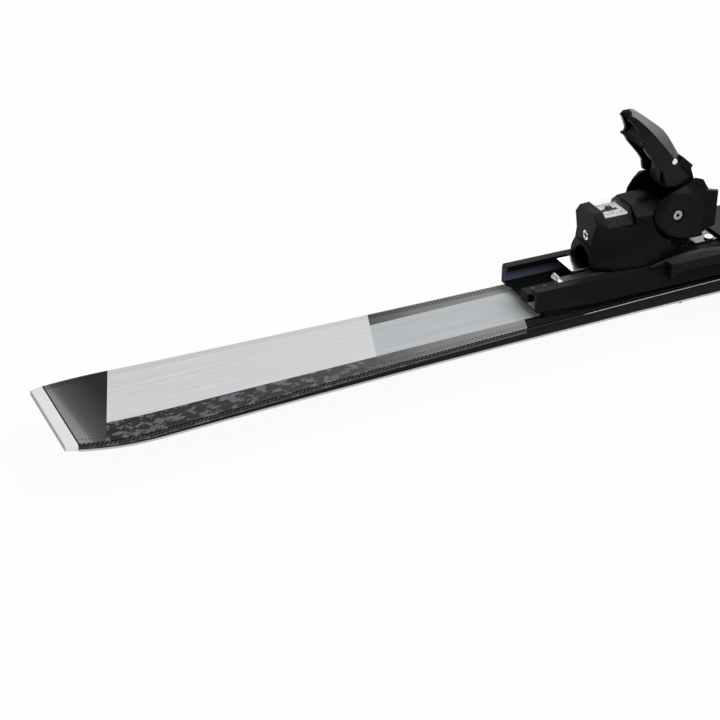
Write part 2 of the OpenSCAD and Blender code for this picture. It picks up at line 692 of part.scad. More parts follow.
module heel_jaw() {
    welt_z = toe_sole_h + 31;
    back = [[16, 96], [36, 96], [34.6, 99], [29.5, 104.7], [25.4, 116.4], [26.8, 119.1], [16.6, 128.2],
        [3.4, 116.2], [3.4, 101]];
    stem = [[0, 104], [10, 104], [14, 121], [lever_x + 4, 128.6], [lever_x - hub_r + 0.4, 128.6]];
    pin_z = pivot_h + lever_pin_up;
    color(INK) translate([heel_x, 0, base_z]) difference() {
        union() {
            difference() {
                each_side() heel_cheek();
                translate([cup_mid, 0, 0]) cylinder(h = 200, r = cup_r, $fn = 96);
            }
            cup();
            cup_wall(cup_r - 5, cup_r + 1, welt_z, welt_z + 5);
            translate([0, 0, jaw_up]) across(back, 2 * ear_half);
            translate([0, 0, jaw_up]) across(stem, 2 * hub_half);
            translate([lever_x, 0, pin_z]) rotate([90, 0, 0])
                cylinder(h = 2 * hub_half, r = hub_r, center = true, $fn = 48);
        }
        translate([pivot_x, 0, pivot_h]) rotate([90, 0, 0])
            cylinder(h = 100, r = 3 + run_fit, center = true, $fn = 40);
        each_side() translate([pivot_x, cheeks_w / 2 - 3.2, pivot_h]) rotate([-90, 0, 0])
            cylinder(h = 20, r = 4.6, $fn = 48);
        each_side() translate([pivot_x, cheeks_w / 2 - 1, pivot_h]) rotate([-90, 0, 0])
            cylinder(h = 20, r = 6.6, $fn = 64);
        translate([lever_x, 0, pin_z]) rotate([90, 0, 0])
            cylinder(h = 100, r = 2.5, center = true, $fn = 40);
    }
}

// Step under the boot's heel, joined to the cup by its web: stepping on it closes the jaw.
module jaw_tread() {
    half = 11;
    color(SATIN) translate([heel_x, 0, base_z]) {
        across([[heel_gap + 1, 47.5], [heel_gap + 22, 47.5], [heel_gap + 24, 49],
            [heel_gap + 22, 51], [heel_gap + 1.6, 51], [heel_gap + 0.2, cup_low],
            [heel_gap - cup_t, cup_low], [heel_gap - cup_t, 49.5]], 2 * half);
    }
}

module lever_pin() {
    color(CHROME) translate([heel_x + lever_x, 0, base_z + pivot_h + lever_pin_up]) rotate([90, 0, 0])
        cylinder(h = lever_w - 0.4, r = 2.5, center = true, $fn = 40);
}

// Opening lever, drawn along its own length from the pin: [length, height over the pin].
// A ridged back joins two side walls, and a shelf between them makes the pocket for a pole tip.

lever_tilt = 134;
module heel_lever() {
    color(INK) translate([heel_x + lever_x, 0, base_z + pivot_h + lever_pin_up])
        rotate([0, -lever_tilt, 0]) mirror([0, 0, 1]) difference() {
            union() {
                lever_back();
                each_side() lever_wall();
                across([[36.6, -11.2], [36.8, -9], [34, -7.4], [31, 2.6], [27.5, 2.6], [31, -10.4]], lever_w - 9);
                across([[31.5, 1.6], [29.5, 9], [26, 9], [27.7, 1.6]], lever_w * 0.4);
            }
            rotate([90, 0, 0]) cylinder(h = 100, r = 2.5 + run_fit, center = true, $fn = 40);
        }
}
// Each station gives the place along the lever, the half width, and the heights of edge and ridge.
module lever_back() {
    wide = lever_w / 40;
    loft("x", [for (s = [[-7, 19, 0.6, 8.1], [2, 18.8, 1.6, 9.9], [13.5, 18.2, 2.6, 12.2], [22, 17.4, 3.2, 13],
        [30, 16.5, 3.8, 12.3], [40, 14.6, 4.2, 10.9], [49, 11.8, 4, 9.4], [54, 9.4, 3.6, 7.8], [56.6, 7.2, 2.6, 5.6]])
        let (y = s[1] * wide, ridge = y * 0.42, low = s[2] - 3.4, under = s[3] - 2.8)
        [s[0], [[y, s[2]], [ridge, s[3]], [-ridge, s[3]], [-y, s[2]],
            [-y, low], [-ridge + 0.6, under], [ridge - 0.6, under], [y, low]]]]);
}
// Each station gives the place along the lever, the outer half width, and the wall's lower and upper edge.
module lever_wall() {
    wide = lever_w / 40;
    wall = 3.2;
    loft("x", [for (s = [[-29, 20, -5, 0.1], [-24, 20, -11.4, 0.2], [-10.4, 19.9, -19, -0.4], [-3, 19.7, -14.2, -0.6],
        [4.4, 19.4, -12.8, 0.2], [23.6, 18, -11.8, 1.9], [33.7, 16.4, -9.8, 2.5], [37, 15.8, -5.2, 2.7],
        [49, 12.1, -1.9, 2.6], [56.4, 7.6, -1.5, 1.4]])
        let (y = s[1] * wide)
        [s[0], [[y, s[3]], [y - wall, s[3]], [y - wall, s[2]], [y, s[2]]]]]);
}

// Brake

axle_z = brake_h;
lug_in = 24;
lug_out = 30;
wire_inner = 8;
module brake_base() {
    outer = 40;
    low = 29.8;
    strip = [[lips_w / 2 + 0.4, track_top + 0.5], [lips_w / 2 + 3.9, track_top - 5.2],
        [lips_w / 2 + 5.1, low], [outer, low], [outer, 43.5], [34, 46.5], [lips_w / 2 + 0.4, 46.5]];
    side = [[-3, 43.5], [16, 46], [31, 46.5], [51, 45], [135, 45], [135, 33], [40, 34.6], [16, 35.4], [4, 33],
        [1, 30], [-3, 29.9]];
    wedge = [[-18, track_top + 0.6], [-18, track_top + 1.6], [-3, 43.5], [-3, track_top + 0.6]];
    deck_from = plate_front - heel_x - 11;
    color(SATIN) translate([heel_x, 0, base_z]) difference() {
        union() {
            each_side() intersection() {
                along(-3, 135, strip);
                across(side, 120);
            }
            each_side() translate([0, lips_w / 2 + 1.9, 0]) across(wedge, 3);
            translate([deck_from + 11.3, -lips_w / 2 - 0.5, track_top + 0.5])
                cube([135 - deck_from - 11.3, lips_w + 1, 5.4]);
            translate([deck_from, -plate_w / 2 - 6, plate_z + plate_t])
                cube([12, plate_w + 12, 44.9 - plate_z - plate_t]);
            each_side() translate([brake_front, lug_in, axle_z]) rotate([-90, 0, 0])
                cylinder(h = lug_out - lug_in, r = 6, $fn = 40);
        }
        translate([brake_front, 0, axle_z]) rotate([90, 0, 0])
            cylinder(h = 2 * lug_in, r = 7.4, center = true, $fn = 48);
        translate([brake_front, 0, axle_z]) rotate([90, 0, 0])
            cylinder(h = 120, r = wire_r + run_fit, center = true, $fn = 40);
        each_side() translate([brake_front - 8, lug_out, axle_z - 8]) cube([16, 20, 20]);
    }
}

module brake_arm() {
    translate([0, wire_inner, 0]) rotate([-90, 0, 0])
        cylinder(h = brake_arm_y + wire_r - wire_inner, r = wire_r, $fn = 40);
    translate([0, brake_arm_y, 0]) rotate([0, -90 - brake_angle, 0])
        cylinder(h = brake_arm_l - 16, r = wire_r - 0.04, $fn = 40);
}
module at_axle() { translate([brake_x, 0, base_z + axle_z]) children(); }
module brake_arms() { color(STEEL) at_axle() each_side() brake_arm(); }

// Moulded foot on each arm, with a claw at its end.
module brake_foot() {
    long = 28;
    out = 5;
    far = brake_arm_l;
    translate([0, brake_arm_y, 0]) rotate([0, 180 - brake_angle, 0]) difference() {
        loft("x", [
            [far - long, [[-out, -4], [out, -4], [out, 4], [-out, 4]]],
            [far - 8, [[-out, -5.5], [out + 2, -5.5], [out + 2, 4.5], [-out, 4.5]]],
            [far, [[-out + 1, -3.5], [out + 1, -3.5], [out + 1, foot_toe], [-out + 1, foot_toe]]]]);
        rotate([0, 90, 0]) cylinder(h = far - 16 + 0.05, r = wire_r + 0.02, $fn = 40);
    }
}
module brake_feet() { color(INK) at_axle() each_side() brake_foot(); }

// Pedal that the boot treads flat, which lifts the arms.
module brake_pedal() {
    pad_l = 50;
    color(SATIN) at_axle() rotate([0, -brake_swing, 0]) difference() {
        union() {
            rotate([90, 0, 0]) cylinder(h = 26, r = 6.2, center = true, $fn = 48);
            loft("z", [
                [-0.6, [[0, -12], [pad_l - 12, -17], [pad_l, -9], [pad_l, 9], [pad_l - 12, 17], [0, 12]]],
                [3.2, [[0, -13], [pad_l - 11, -18.5], [pad_l + 1, -10], [pad_l + 1, 10], [pad_l - 11, 18.5], [0, 13]]]]);
        }
        each_side() translate([0, wire_inner, 0]) rotate([-90, 0, 0])
            cylinder(h = 40, r = wire_r + 0.02, $fn = 40);
        for (i = [1:4]) translate([8 + i * 8, 0, 3.2]) cube([2.4, 20, 1.6], center = true);
    }
}

module brake_spring() {
    color(STEEL) at_axle() each_side() translate([0, 13.6, 0]) rotate([-90, 0, 0]) difference() {
        cylinder(h = lug_in - 13.6, r = 5.6, $fn = 40);
        translate([0, 0, -1]) cylinder(h = 30, r = wire_r + 0.4, $fn = 40);
    }
}

// Toe piece

toe_track_half = 33;
toe_deck = 33;
toe_plate_t = 4;
toe_top = toe_deck + toe_plate_t;
toe_rear = -80;
toe_front = 136;
module toe_riser() { color("#151516") riser(toe_x + toe_rear + 3, toe_x + toe_front - 4, 2 * toe_track_half - 8); }

module toe_track() {
    color(INK) difference() {
        intersection() {
            translate([0, 0, base_z]) along(toe_x + toe_rear, toe_x + toe_front,
                both_sides([[toe_track_half, track_h], [toe_track_half - 0.6, 27], [toe_track_half - 3.4, toe_deck]]));
            translate([0, 0, base_z]) across([[toe_x + toe_rear, track_h], [toe_x + toe_rear + 5, toe_deck],
                [toe_x + toe_front - 14, toe_deck], [toe_x + toe_front, track_h + 3], [toe_x + toe_front, track_h]], 80);
        }
        screw_holes(screw_r + run_fit);
    }
}

pad_well = [-64, -16];
module toe_base() {
    color(STEEL) difference() {
        translate([toe_x, 0, base_z + toe_deck]) linear_extrude(toe_plate_t) hull() {
            translate([-66, 20]) circle(r = 6, $fn = 32);
            translate([-66, -20]) circle(r = 6, $fn = 32);
            translate([112, 12]) circle(r = 6.5, $fn = 32);
            translate([112, -12]) circle(r = 6.5, $fn = 32);
            translate([20, 22]) circle(r = 6, $fn = 32);
            translate([20, -22]) circle(r = 6, $fn = 32);
        }
        screw_holes(screw_r + run_fit);
        translate([toe_x + pad_screw_x, 0, base_z]) cylinder(h = 60, r = 3 + 0.4, $fn = 32);
    }
}

module toe_screws() {
    head_h = 2.8;
    color(CHROME) for (p = toe_screw_places)
        translate([p[0], p[1], base_z + toe_top + head_h])
            cross_screw(4.6, head_h, screw_r, toe_top + head_h - ski_top(p[0]) + screw_bite);
}

toe_mech_z = 60;
toe_face = 106;
toe_nut = toe_face - 24;
toe_spring_from = 46;
toe_piston_from = 34;
wing_low = toe_sole_h + 5.8;
wing_high = wing_low + 21;
roof_low = toe_sole_h + 28;
toe_recess = [66, 92];
toe_scale_z = 71;
module toe_housing() {
    color(INK) translate([toe_x, 0, base_z]) difference() {
        union() {
            loft("x", [
                [10, both_sides([[24, toe_top], [29, 50], [31, 70], [29, 83], [15, 91]])],
                [30, both_sides([[28, toe_top], [32, 50], [32, 70], [29, 83], [15, 92]])],
                [60, both_sides([[25, toe_top], [28, 50], [27, 66], [21, 80], [12, 88]])],
                [94, both_sides([[18, toe_top], [21, 50], [20, 62], [15, 76], [9, 82]])],
                [toe_face, both_sides([[14, toe_top], [16, 48], [15, 62], [12, 70], [8, 73]])]]);
            loft("x", [
                [-7, both_sides([[15, roof_low + 2], [17, roof_low + 5], [12, roof_low + 9]])],
                [12, both_sides([[26, roof_low], [27, roof_low + 5], [14, 91]])]]);
        }
        each_side() wing_room();
        each_side() translate([wing_pin_front, wing_pin_y, 44]) cylinder(h = 36, r = 3.02, $fn = 40);
        translate([toe_piston_from - 4, 0, toe_mech_z]) rotate([0, 90, 0])
            cylinder(h = toe_nut + 12 - toe_piston_from, r = spring_bore_r, $fn = 64);
        translate([toe_face - 4.6, 0, toe_mech_z]) rotate([0, 90, 0])
            cylinder(h = 20, r = release_head_r + 0.4, $fn = 48);
        translate([toe_nut - 10, 0, toe_mech_z]) rotate([0, 90, 0])
            cylinder(h = 40, r = release_shank_r + run_fit, $fn = 40);
        translate([toe_nut - nut_l / 2 - pointer_travel - 2.6, -2.6, toe_mech_z])
            cube([2 * pointer_travel + 5.2, 5.2, 16]);
        translate([toe_recess[0], -40, toe_scale_z]) cube([toe_recess[1] - toe_recess[0], 80, 40]);
    }
}
// Space in the housing that a wing turns in.
module wing_room() {
    translate([0, 0, wing_low - 0.5]) linear_extrude(wing_high - wing_low + 1) union() {
        translate([wing_pin_front, wing_pin_y]) circle(r = 9.5, $fn = 48);
        polygon([[-20, 12], [wing_pin_front + 6, 12], [wing_pin_front + 11, 17], [wing_pin_front + 11, 60], [-20, 60]]);
    }
}

wing_reach = 36;
module toe_wing() {
    arm = [[8, -6], [8, 5], [-4, 8.6], [-18, 12.5], [-30, 14.6], [-wing_reach, 13.6], [-wing_reach - 1.4, 10.8],
        [-wing_reach + 2, 7.6], [-28, 6.4], [-21, 3], [-15, -3], [-12, -10], [-5, -11.5], [4, -11]];
    color(INK) translate([toe_x + wing_pin_front, wing_pin_y, base_z]) difference() {
        translate([0, 0, wing_low]) linear_extrude(wing_high - wing_low) polygon(arm);
        translate([0, 0, 40]) cylinder(h = 60, r = 3 + run_fit, $fn = 40);
        translate([-wing_reach - 4, 2, wing_high - 4]) rotate([0, -22, 0]) cube([22, 30, 20]);
    }
}
module toe_wing_left() { toe_wing(); }
module toe_wing_right() { mirror([0, 1, 0]) toe_wing(); }

module toe_wing_pins() {
    color(CHROME) translate([toe_x, 0, base_z]) each_side()
        translate([wing_pin_front, wing_pin_y, 44]) cylinder(h = 36, r = 3, $fn = 40);
}

module toe_gear() { translate([toe_x, 0, base_z + toe_mech_z]) mirror([1, 0, 0]) translate([-toe_face, 0, 0]) children(); }
module toe_spring() { toe_gear() spring_tube(toe_face - (toe_nut - nut_l) + 5.2, toe_face - toe_spring_from); }
module toe_piston() {
    color(STEEL) toe_gear() translate([toe_face - toe_spring_from, 0, 0]) rotate([0, 90, 0])
        cylinder(h = toe_spring_from - toe_piston_from + 3, r = spring_bore_r - slide_gap, $fn = 48);
}
module toe_screw() { toe_gear() translate([1.4, 0, 0]) release_screw(42); }
toe_pointer_z = 75.4;
module toe_spring_nut() { toe_gear() spring_nut(toe_face - toe_nut, toe_pointer_z - toe_mech_z); }
toe_scale_x = toe_nut - nut_l / 2;
module toe_scale() {
    color(WHITE) translate([toe_x, 0, base_z + toe_scale_z]) scale_block(toe_scale_x, 18, 5.2, toe_scale_x);
}
module toe_window() {
    color("#dfe4e8", 0.4) translate([toe_x, 0, base_z + toe_scale_z]) cover_block(toe_scale_x, 19.4, 27, 9.6, 18);
}
module toe_pointer() {
    color("#2b2b2d") translate([toe_x + toe_scale_x - 2.4, -2.4, base_z + toe_pointer_z]) cube([4.8, 4.8, 2.8]);
}

// Sliding pad under the boot's toe

pad_t = 4.2;
pad_screw_x = -58;
carrier_top = toe_sole_h - pad_t - slide_gap;
carrier_half = 14 + pad_travel;
module pad_carrier() {
    color(SATIN) translate([toe_x, 0, base_z]) difference() {
        union() {
            translate([pad_well[0], -carrier_half, toe_top + slide_gap])
                cube([pad_well[1] - pad_well[0], 2 * carrier_half, carrier_top - toe_top - slide_gap]);
            translate([-39, -carrier_half, carrier_top - 0.1]) cube([9, 2 * carrier_half, 1.6]);
        }
        translate([pad_screw_x, 0, 0]) cylinder(h = 80, r = 3 + run_fit, $fn = 32);
        translate([pad_screw_x, 0, carrier_top - 2.4]) cylinder(h = 80, r = 5.2, $fn = 32);
    }
}
module pad_screw() {
    color(CHROME) translate([toe_x + pad_screw_x, 0, base_z + carrier_top - 0.4]) cross_screw(4.8, 2, 3, 7.5 + pad_lift);
}
module sliding_pad() {
    rail = slide_gap;
    color("#3a3b3d") translate([toe_x, 0, base_z + toe_sole_h - pad_t]) difference() {
        linear_extrude(pad_t) hull() {
            each_side() {
                translate([-46, 16]) circle(r = 5, $fn = 32);
                translate([-21, 20]) circle(r = 4, $fn = 32);
            }
        }
        translate([-39 - rail, -40, -1]) cube([9 + 2 * rail, 80, 1 + 1.5]);
        for (i = [0:3]) translate([-45 + i * 7, -15, pad_t - 0.8]) cube([2.4, 30, 3]);
    }
}

base_sheet();
steel_edges();
wood_core();
sidewalls();
metal_sheet();
top_sheet();
tail_protector();
tip_protector();
heel_riser();
heel_track();
lock_rack();
heel_track_screws();
heel_carriage();
carriage_plate();
plate_screws();
lock_tab();
lock_tab_pin();
heel_housing();
heel_pivot_screws();
heel_spring();
heel_piston();
heel_screw();
heel_spring_nut();
heel_scale();
heel_window();
heel_pointer();
heel_jaw();
jaw_tread();
lever_pin();
heel_lever();
brake_base();
brake_arms();
brake_feet();
brake_pedal();
brake_spring();
toe_riser();
toe_track();
toe_base();
toe_screws();
toe_housing();
toe_wing_left();
toe_wing_right();
toe_wing_pins();
toe_spring();
toe_piston();
toe_screw();
toe_spring_nut();
toe_scale();
toe_window();
toe_pointer();
pad_carrier();
pad_screw();
sliding_pad();
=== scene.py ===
import math

import bmesh
import bpy
import numpy as np
from mathutils import Matrix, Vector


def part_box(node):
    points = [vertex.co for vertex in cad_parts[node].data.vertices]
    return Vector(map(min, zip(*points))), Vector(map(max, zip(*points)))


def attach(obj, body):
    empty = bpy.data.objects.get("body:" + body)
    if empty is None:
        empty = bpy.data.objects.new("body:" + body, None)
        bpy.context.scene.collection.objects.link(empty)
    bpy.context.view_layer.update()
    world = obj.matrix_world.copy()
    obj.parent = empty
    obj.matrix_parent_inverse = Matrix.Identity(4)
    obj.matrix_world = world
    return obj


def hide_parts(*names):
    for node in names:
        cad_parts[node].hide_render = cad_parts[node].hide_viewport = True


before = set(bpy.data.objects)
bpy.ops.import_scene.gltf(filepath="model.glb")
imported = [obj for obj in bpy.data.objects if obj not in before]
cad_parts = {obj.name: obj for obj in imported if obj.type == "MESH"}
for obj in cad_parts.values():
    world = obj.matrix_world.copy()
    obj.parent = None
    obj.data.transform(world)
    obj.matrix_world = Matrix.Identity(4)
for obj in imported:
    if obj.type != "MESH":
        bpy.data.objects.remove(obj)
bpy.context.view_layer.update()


# Camera. It stands behind the tail on the near side and looks forwards and down along the ski,
# so that the tail comes towards the lower left and the heel piece fills the upper right.
azimuth, drop, roll = 0.4361, 0.5312, 0.004
camera_at = (-1.14948, -1.26517, 0.86635)
forward = np.array([math.sin(azimuth) * math.cos(drop), math.cos(azimuth) * math.cos(drop),
                    -math.sin(drop)])
level = np.array([math.cos(azimuth), -math.sin(azimuth), 0.0])
upward = np.cross(level, forward)
camera_x = math.cos(roll) * level + math.sin(roll) * upward
camera_y = math.cos(roll) * upward - math.sin(roll) * level
camera_data = bpy.data.cameras.new("photo_camera")
camera_data.sensor_width = 36.0
camera_data.lens = 98.704
camera_data.clip_start = 0.02
camera_data.clip_end = 60.0
camera = bpy.data.objects.new("photo_camera", camera_data)
bpy.context.scene.collection.objects.link(camera)
turn = Matrix(np.column_stack([camera_x, camera_y, -forward]).tolist()).to_4x4()
camera.matrix_world = Matrix.Translation(camera_at) @ turn
bpy.context.scene.camera = camera
bpy.context.scene.view_settings.view_transform = "Standard"


# Floor and light. A plain pale studio floor runs out to a white surround. One wide lamp hangs over
# the near side, a long one beyond the ski puts a soft sheen on level faces, and the surround fills in.
MM = 0.001


class Signal:
    """A value or colour that varies over a surface. Arithmetic on it adds Math nodes to its finish."""

    def __init__(self, finish, socket):
        self.finish = finish
        self.socket = socket

    def math(self, operation, *others, swap=False):
        terms = [*others, self] if swap else [self, *others]
        return self.finish.add("ShaderNodeMath", {"operation": operation}, dict(enumerate(terms)))

    def __add__(self, other):
        return self.math("ADD", other)

    def __sub__(self, other):
        return self.math("SUBTRACT", other)

    def __rsub__(self, other):
        return self.math("SUBTRACT", other, swap=True)

    def __mul__(self, other):
        return self.math("MULTIPLY", other)

    def __truediv__(self, other):
        return self.math("DIVIDE", other)

    def __pow__(self, other):
        return self.math("POWER", other)

    def __abs__(self):
        return self.math("ABSOLUTE")

    __radd__ = __add__
    __rmul__ = __mul__

    def above(self, edge, soft=0.0):
        """1 where the value is past the edge, with a smooth step over the soft width."""
        if not soft:
            return self.math("GREATER_THAN", edge)
        ends = {"Value": self, "From Min": edge - soft / 2, "From Max": edge + soft / 2}
        return self.finish.add("ShaderNodeMapRange", {"interpolation_type": "SMOOTHSTEP"}, ends)

    def below(self, edge, soft=0.0):
        return 1 - self.above(edge, soft)

    def between(self, low, high, soft=0.0):
        return self.above(low, soft) * self.below(high, soft)

    def stripes(self, pitch, start, stop, soft=0.0):
        """1 on stripes a pitch apart, each running from the start to the stop share of the pitch."""
        return (self / pitch).math("FRACT").between(start, stop, soft)


class Finish:
    """A procedural material. One method adds any node: its settings first, then its sockets."""

    def __init__(self, name):
        self.material = bpy.data.materials.new(name)
        self.material.use_nodes = True
        self.tree = self.material.node_tree
        self.tree.nodes.clear()
        self.end = self.tree.nodes.new("ShaderNodeOutputMaterial")

    def add(self, kind, settings=None, sockets=None, output=0):
        node = self.tree.nodes.new(kind)
        for key, value in (settings or {}).items():
            if key == "stops":
                ramp = node.color_ramp
                while len(ramp.elements) < len(value):
                    ramp.elements.new(0.5)
                for element, (place, tone) in zip(ramp.elements, value):
                    element.position = place
                    element.color = (tone, tone, tone, 1.0)
            else:
                setattr(node, key, value)
        for key, value in (sockets or {}).items():
            if isinstance(value, Signal):
                self.tree.links.new(value.socket, node.inputs[key])
            else:
                node.inputs[key].default_value = value
        return Signal(self, node.outputs[output])

    def place(self):
        """The point on the piece in metres, from Object coordinates."""
        return self.add("ShaderNodeTexCoord", output=3)

    def split(self, vector):
        """The three parts of a vector or a colour."""
        parts = self.add("ShaderNodeSeparateXYZ", {}, {0: vector}).socket.node.outputs
        return [Signal(self, part) for part in parts]

    def millimetres(self, point=None):
        """The x, y and z in mm of a point in metres, or else of the place on the piece."""
        sockets = {0: point or self.place(), "Scale": 1 / MM}
        return self.split(self.add("ShaderNodeVectorMath", {"operation": "SCALE"}, sockets))

    def stretched(self, x, y, z):
        """The point with each axis scaled, so that a pattern gets its size and grain."""
        return self.add("ShaderNodeMapping", {}, {"Vector": self.place(), "Scale": (x, y, z)})

    def noise(self, stretch, detail=2.0, rough=0.5):
        """Soft clouds from 0 to 1. The stretch is about how many of them lie in a metre along x, y and z."""
        sockets = {"Vector": self.stretched(*stretch), "Scale": 1.0, "Detail": detail, "Roughness": rough}
        return self.add("ShaderNodeTexNoise", {}, sockets)

    def mix(self, share, first, second):
        """The first colour turning into the second as the share goes from 0 to 1."""
        return self.add("ShaderNodeMix", {"data_type": "RGBA"}, {0: share, 6: first, 7: second}, output=2)

    def greys(self, value, low, high, tones):
        """Grey read off a ramp between two ends: pairs of a place and a tone of 0 to 255 as on a screen."""
        stops = [((place - low) / (high - low), shade(f"{tone:02x}" * 3)[0]) for place, tone in tones]
        return self.add("ShaderNodeValToRGB", {"stops": stops}, {"Fac": (value - low) / (high - low)})

    def bump(self, height, depth, strength=1.0, normal=None):
        sockets = {"Height": height, "Distance": depth, "Strength": strength}
        if normal:
            sockets["Normal"] = normal
        return self.add("ShaderNodeBump", {}, sockets)

    def surface(self, **sockets):
        names = {key.replace("_", " "): value for key, value in sockets.items()}
        shader = self.add("ShaderNodeBsdfPrincipled", {}, names)
        self.tree.links.new(shader.socket, self.end.inputs["Surface"])
        return self.material


def shade(text):
    """A colour written as on a screen, such as 8a8a8a, as linear light."""
    parts = np.array([int(text[i:i + 2], 16) for i in (0, 2, 4)]) / 255
    light = np.where(parts <= 0.04045, parts / 12.92, ((parts + 0.055) / 1.055) ** 2.4)
    return (*light.tolist(), 1.0)


# The floor turns white to the camera and to mirrors and glass, and keeps a little of the ski's shadow.
white = (1.0, 1.0, 1.0, 1.0)
white_share, floor_half = 0.93, 14
floor_paint = Finish("studio_floor")
grain = floor_paint.noise((6, 6, 6), detail=3.0)
path = floor_paint.add("ShaderNodeLightPath")
seen = [Signal(floor_paint, path.socket.node.outputs[name])
        for name in ("Is Camera Ray", "Is Glossy Ray", "Is Transmission Ray")]
seen_share = (seen[0] + seen[1] + seen[2]).math("MINIMUM", 1.0)
matt = floor_paint.add("ShaderNodeBsdfDiffuse", {},
                       {"Color": floor_paint.mix(grain, shade("f4f4f3"), shade("f7f7f7"))})
glow = floor_paint.add("ShaderNodeEmission", {}, {"Color": white, "Strength": 1.0})
blend = floor_paint.add("ShaderNodeMixShader", {}, {0: seen_share * white_share, 1: matt, 2: glow})
floor_paint.tree.links.new(blend.socket, floor_paint.end.inputs["Surface"])
floor_mesh = bpy.data.meshes.new("studio_floor")
floor_mesh.from_pydata([(-floor_half, -floor_half, 0), (floor_half, -floor_half, 0),
                        (floor_half, floor_half, 0), (-floor_half, floor_half, 0)], [], [(0, 1, 2, 3)])
floor_mesh.materials.append(floor_paint.material)
floor = bpy.data.objects.new("studio_floor", floor_mesh)
bpy.context.scene.collection.objects.link(floor)

fill_light, seen_light = 0.42, 1.0
world = bpy.data.worlds.new("surround")
world.use_nodes = True
bpy.context.scene.world = world
sky = world.node_tree
sky_path = sky.nodes.new("ShaderNodeLightPath")
sky_seen = sky.nodes.new("ShaderNodeMath")
sky_seen.operation = "MAXIMUM"
sky.links.new(sky_path.outputs["Is Camera Ray"], sky_seen.inputs[0])
sky.links.new(sky_path.outputs["Is Transmission Ray"], sky_seen.inputs[1])
sky_mix = sky.nodes.new("ShaderNodeMix")
sky_mix.inputs[2].default_value = fill_light
sky_mix.inputs[3].default_value = seen_light
sky.links.new(sky_seen.outputs[0], sky_mix.inputs[0])
sky.links.new(sky_mix.outputs[0], sky.nodes["Background"].inputs["Strength"])
sky.nodes["Background"].inputs["Color"].default_value = white

for lamp_name, lamp_at, aim, size, power in (
        ("overhead_lamp", (0.15, -1.5, 2.6), (-0.35, 0.0, 0.1), (2.6, 1.8), 62.0),
        ("far_lamp", (1.1, 2.6, 1.8), (-0.3, 0.0, 0.1), (2.4, 0.7), 11.0)):
    lamp_data = bpy.data.lights.new(lamp_name, "AREA")
    lamp_data.shape = "RECTANGLE"
    lamp_data.size, lamp_data.size_y = size
    lamp_data.energy = power
    lamp = bpy.data.objects.new(lamp_name, lamp_data)
    bpy.context.scene.collection.objects.link(lamp)
    back = np.subtract(lamp_at, aim)
    back /= np.linalg.norm(back)
    sideways = np.cross([0.0, 0.0, 1.0], back)
    sideways /= np.linalg.norm(sideways)
    turn = Matrix(np.column_stack([sideways, np.cross(back, sideways), back]).tolist()).to_4x4()
    lamp.matrix_world = Matrix.Translation(lamp_at) @ turn


# Ski outline and side view. The ski's layers are cut to one outline: two sidecut curves that meet
# at the waist, a drawn-in tail and a rounded tip. They are pressed over one arched side view. All
# sizes are in mm, from a point under the ski's middle on the floor that the open brake stands on.
half_l = 825.0
tail_joint, tip_joint = -815.0, 801.0
tail_w, waist_w, tip_w = 105.0, 72.3, 122.0
tail_wide_x, waist_x, tip_wide_x = -755.0, -146.0, 683.0
tail_draw_in, widest_half = 7.2, 61.85
kick_l, kick_h = 80.0, 3.8
shovel_l, shovel_r = 150.0, 260.0
kick_x, shovel_x = kick_l - half_l, half_l - shovel_l
camber = 3.0
brake_arm_l, brake_angle, foot_toe, brake_h = 106, math.radians(65), 2, 46
base_z = brake_arm_l * math.sin(brake_angle) + foot_toe * math.cos(brake_angle) - brake_h


def sidecut(x, wide_x, wide):
    """Half width of a sidecut: a parabola that is level at the waist and rises to the widest point."""
    return waist_w / 2 + (wide - waist_w) / 2 * ((x - waist_x) / (wide_x - waist_x)) ** 2


def edge_half(x):
    """Half width over the steel edges: the two sidecuts. Behind the tail's widest point the sidecut's
    slope goes on, less a parabola. Past the tip's it goes on too, times 1 less the distance's power of
    2.4, all to the power of 0.55."""
    tail_round, tip_round = tail_wide_x + half_l, half_l - tip_wide_x
    tail_slope = (tail_w - waist_w) / (waist_x - tail_wide_x)
    tip_slope = (tip_w - waist_w) / (tip_wide_x - waist_x)
    behind = np.maximum(0, tail_wide_x - x)
    draw_in = (tail_slope * tail_round + tail_draw_in) * (behind / tail_round) ** 2
    tail = tail_w / 2 + tail_slope * behind - draw_in
    past = np.clip(x - tip_wide_x, 0, tip_round)
    tip = (tip_w / 2 + tip_slope * past) * np.maximum(0, 1 - (past / tip_round) ** 2.4) ** 0.55
    cut = np.where(x < waist_x, sidecut(x, tail_wide_x, tail_w), sidecut(x, tip_wide_x, tip_w))
    return np.where(x < tail_wide_x, tail, np.where(x > tip_wide_x, np.minimum(tip, widest_half), cut))


def running_z(x):
    """Height of the running base: a parabola at the tail, a sine arch and the shovel's circle."""
    kick = kick_h * (np.maximum(0, kick_x - x) / kick_l) ** 2
    shovel = shovel_r - np.sqrt(shovel_r ** 2 - np.maximum(0, x - shovel_x) ** 2)
    arch = camber * np.sin(np.pi * np.clip((x - kick_x) / (shovel_x - kick_x), 0, 1))
    return base_z + kick + shovel + arch


def thickness(x):
    """Thickness of the whole stack of layers, on straight lines between six places along the ski."""
    return np.interp(x, [-half_l, tail_joint, -112, 60, 610, half_l], [4.6, 6.1, 15.2, 15.2, 6.4, 5.6])


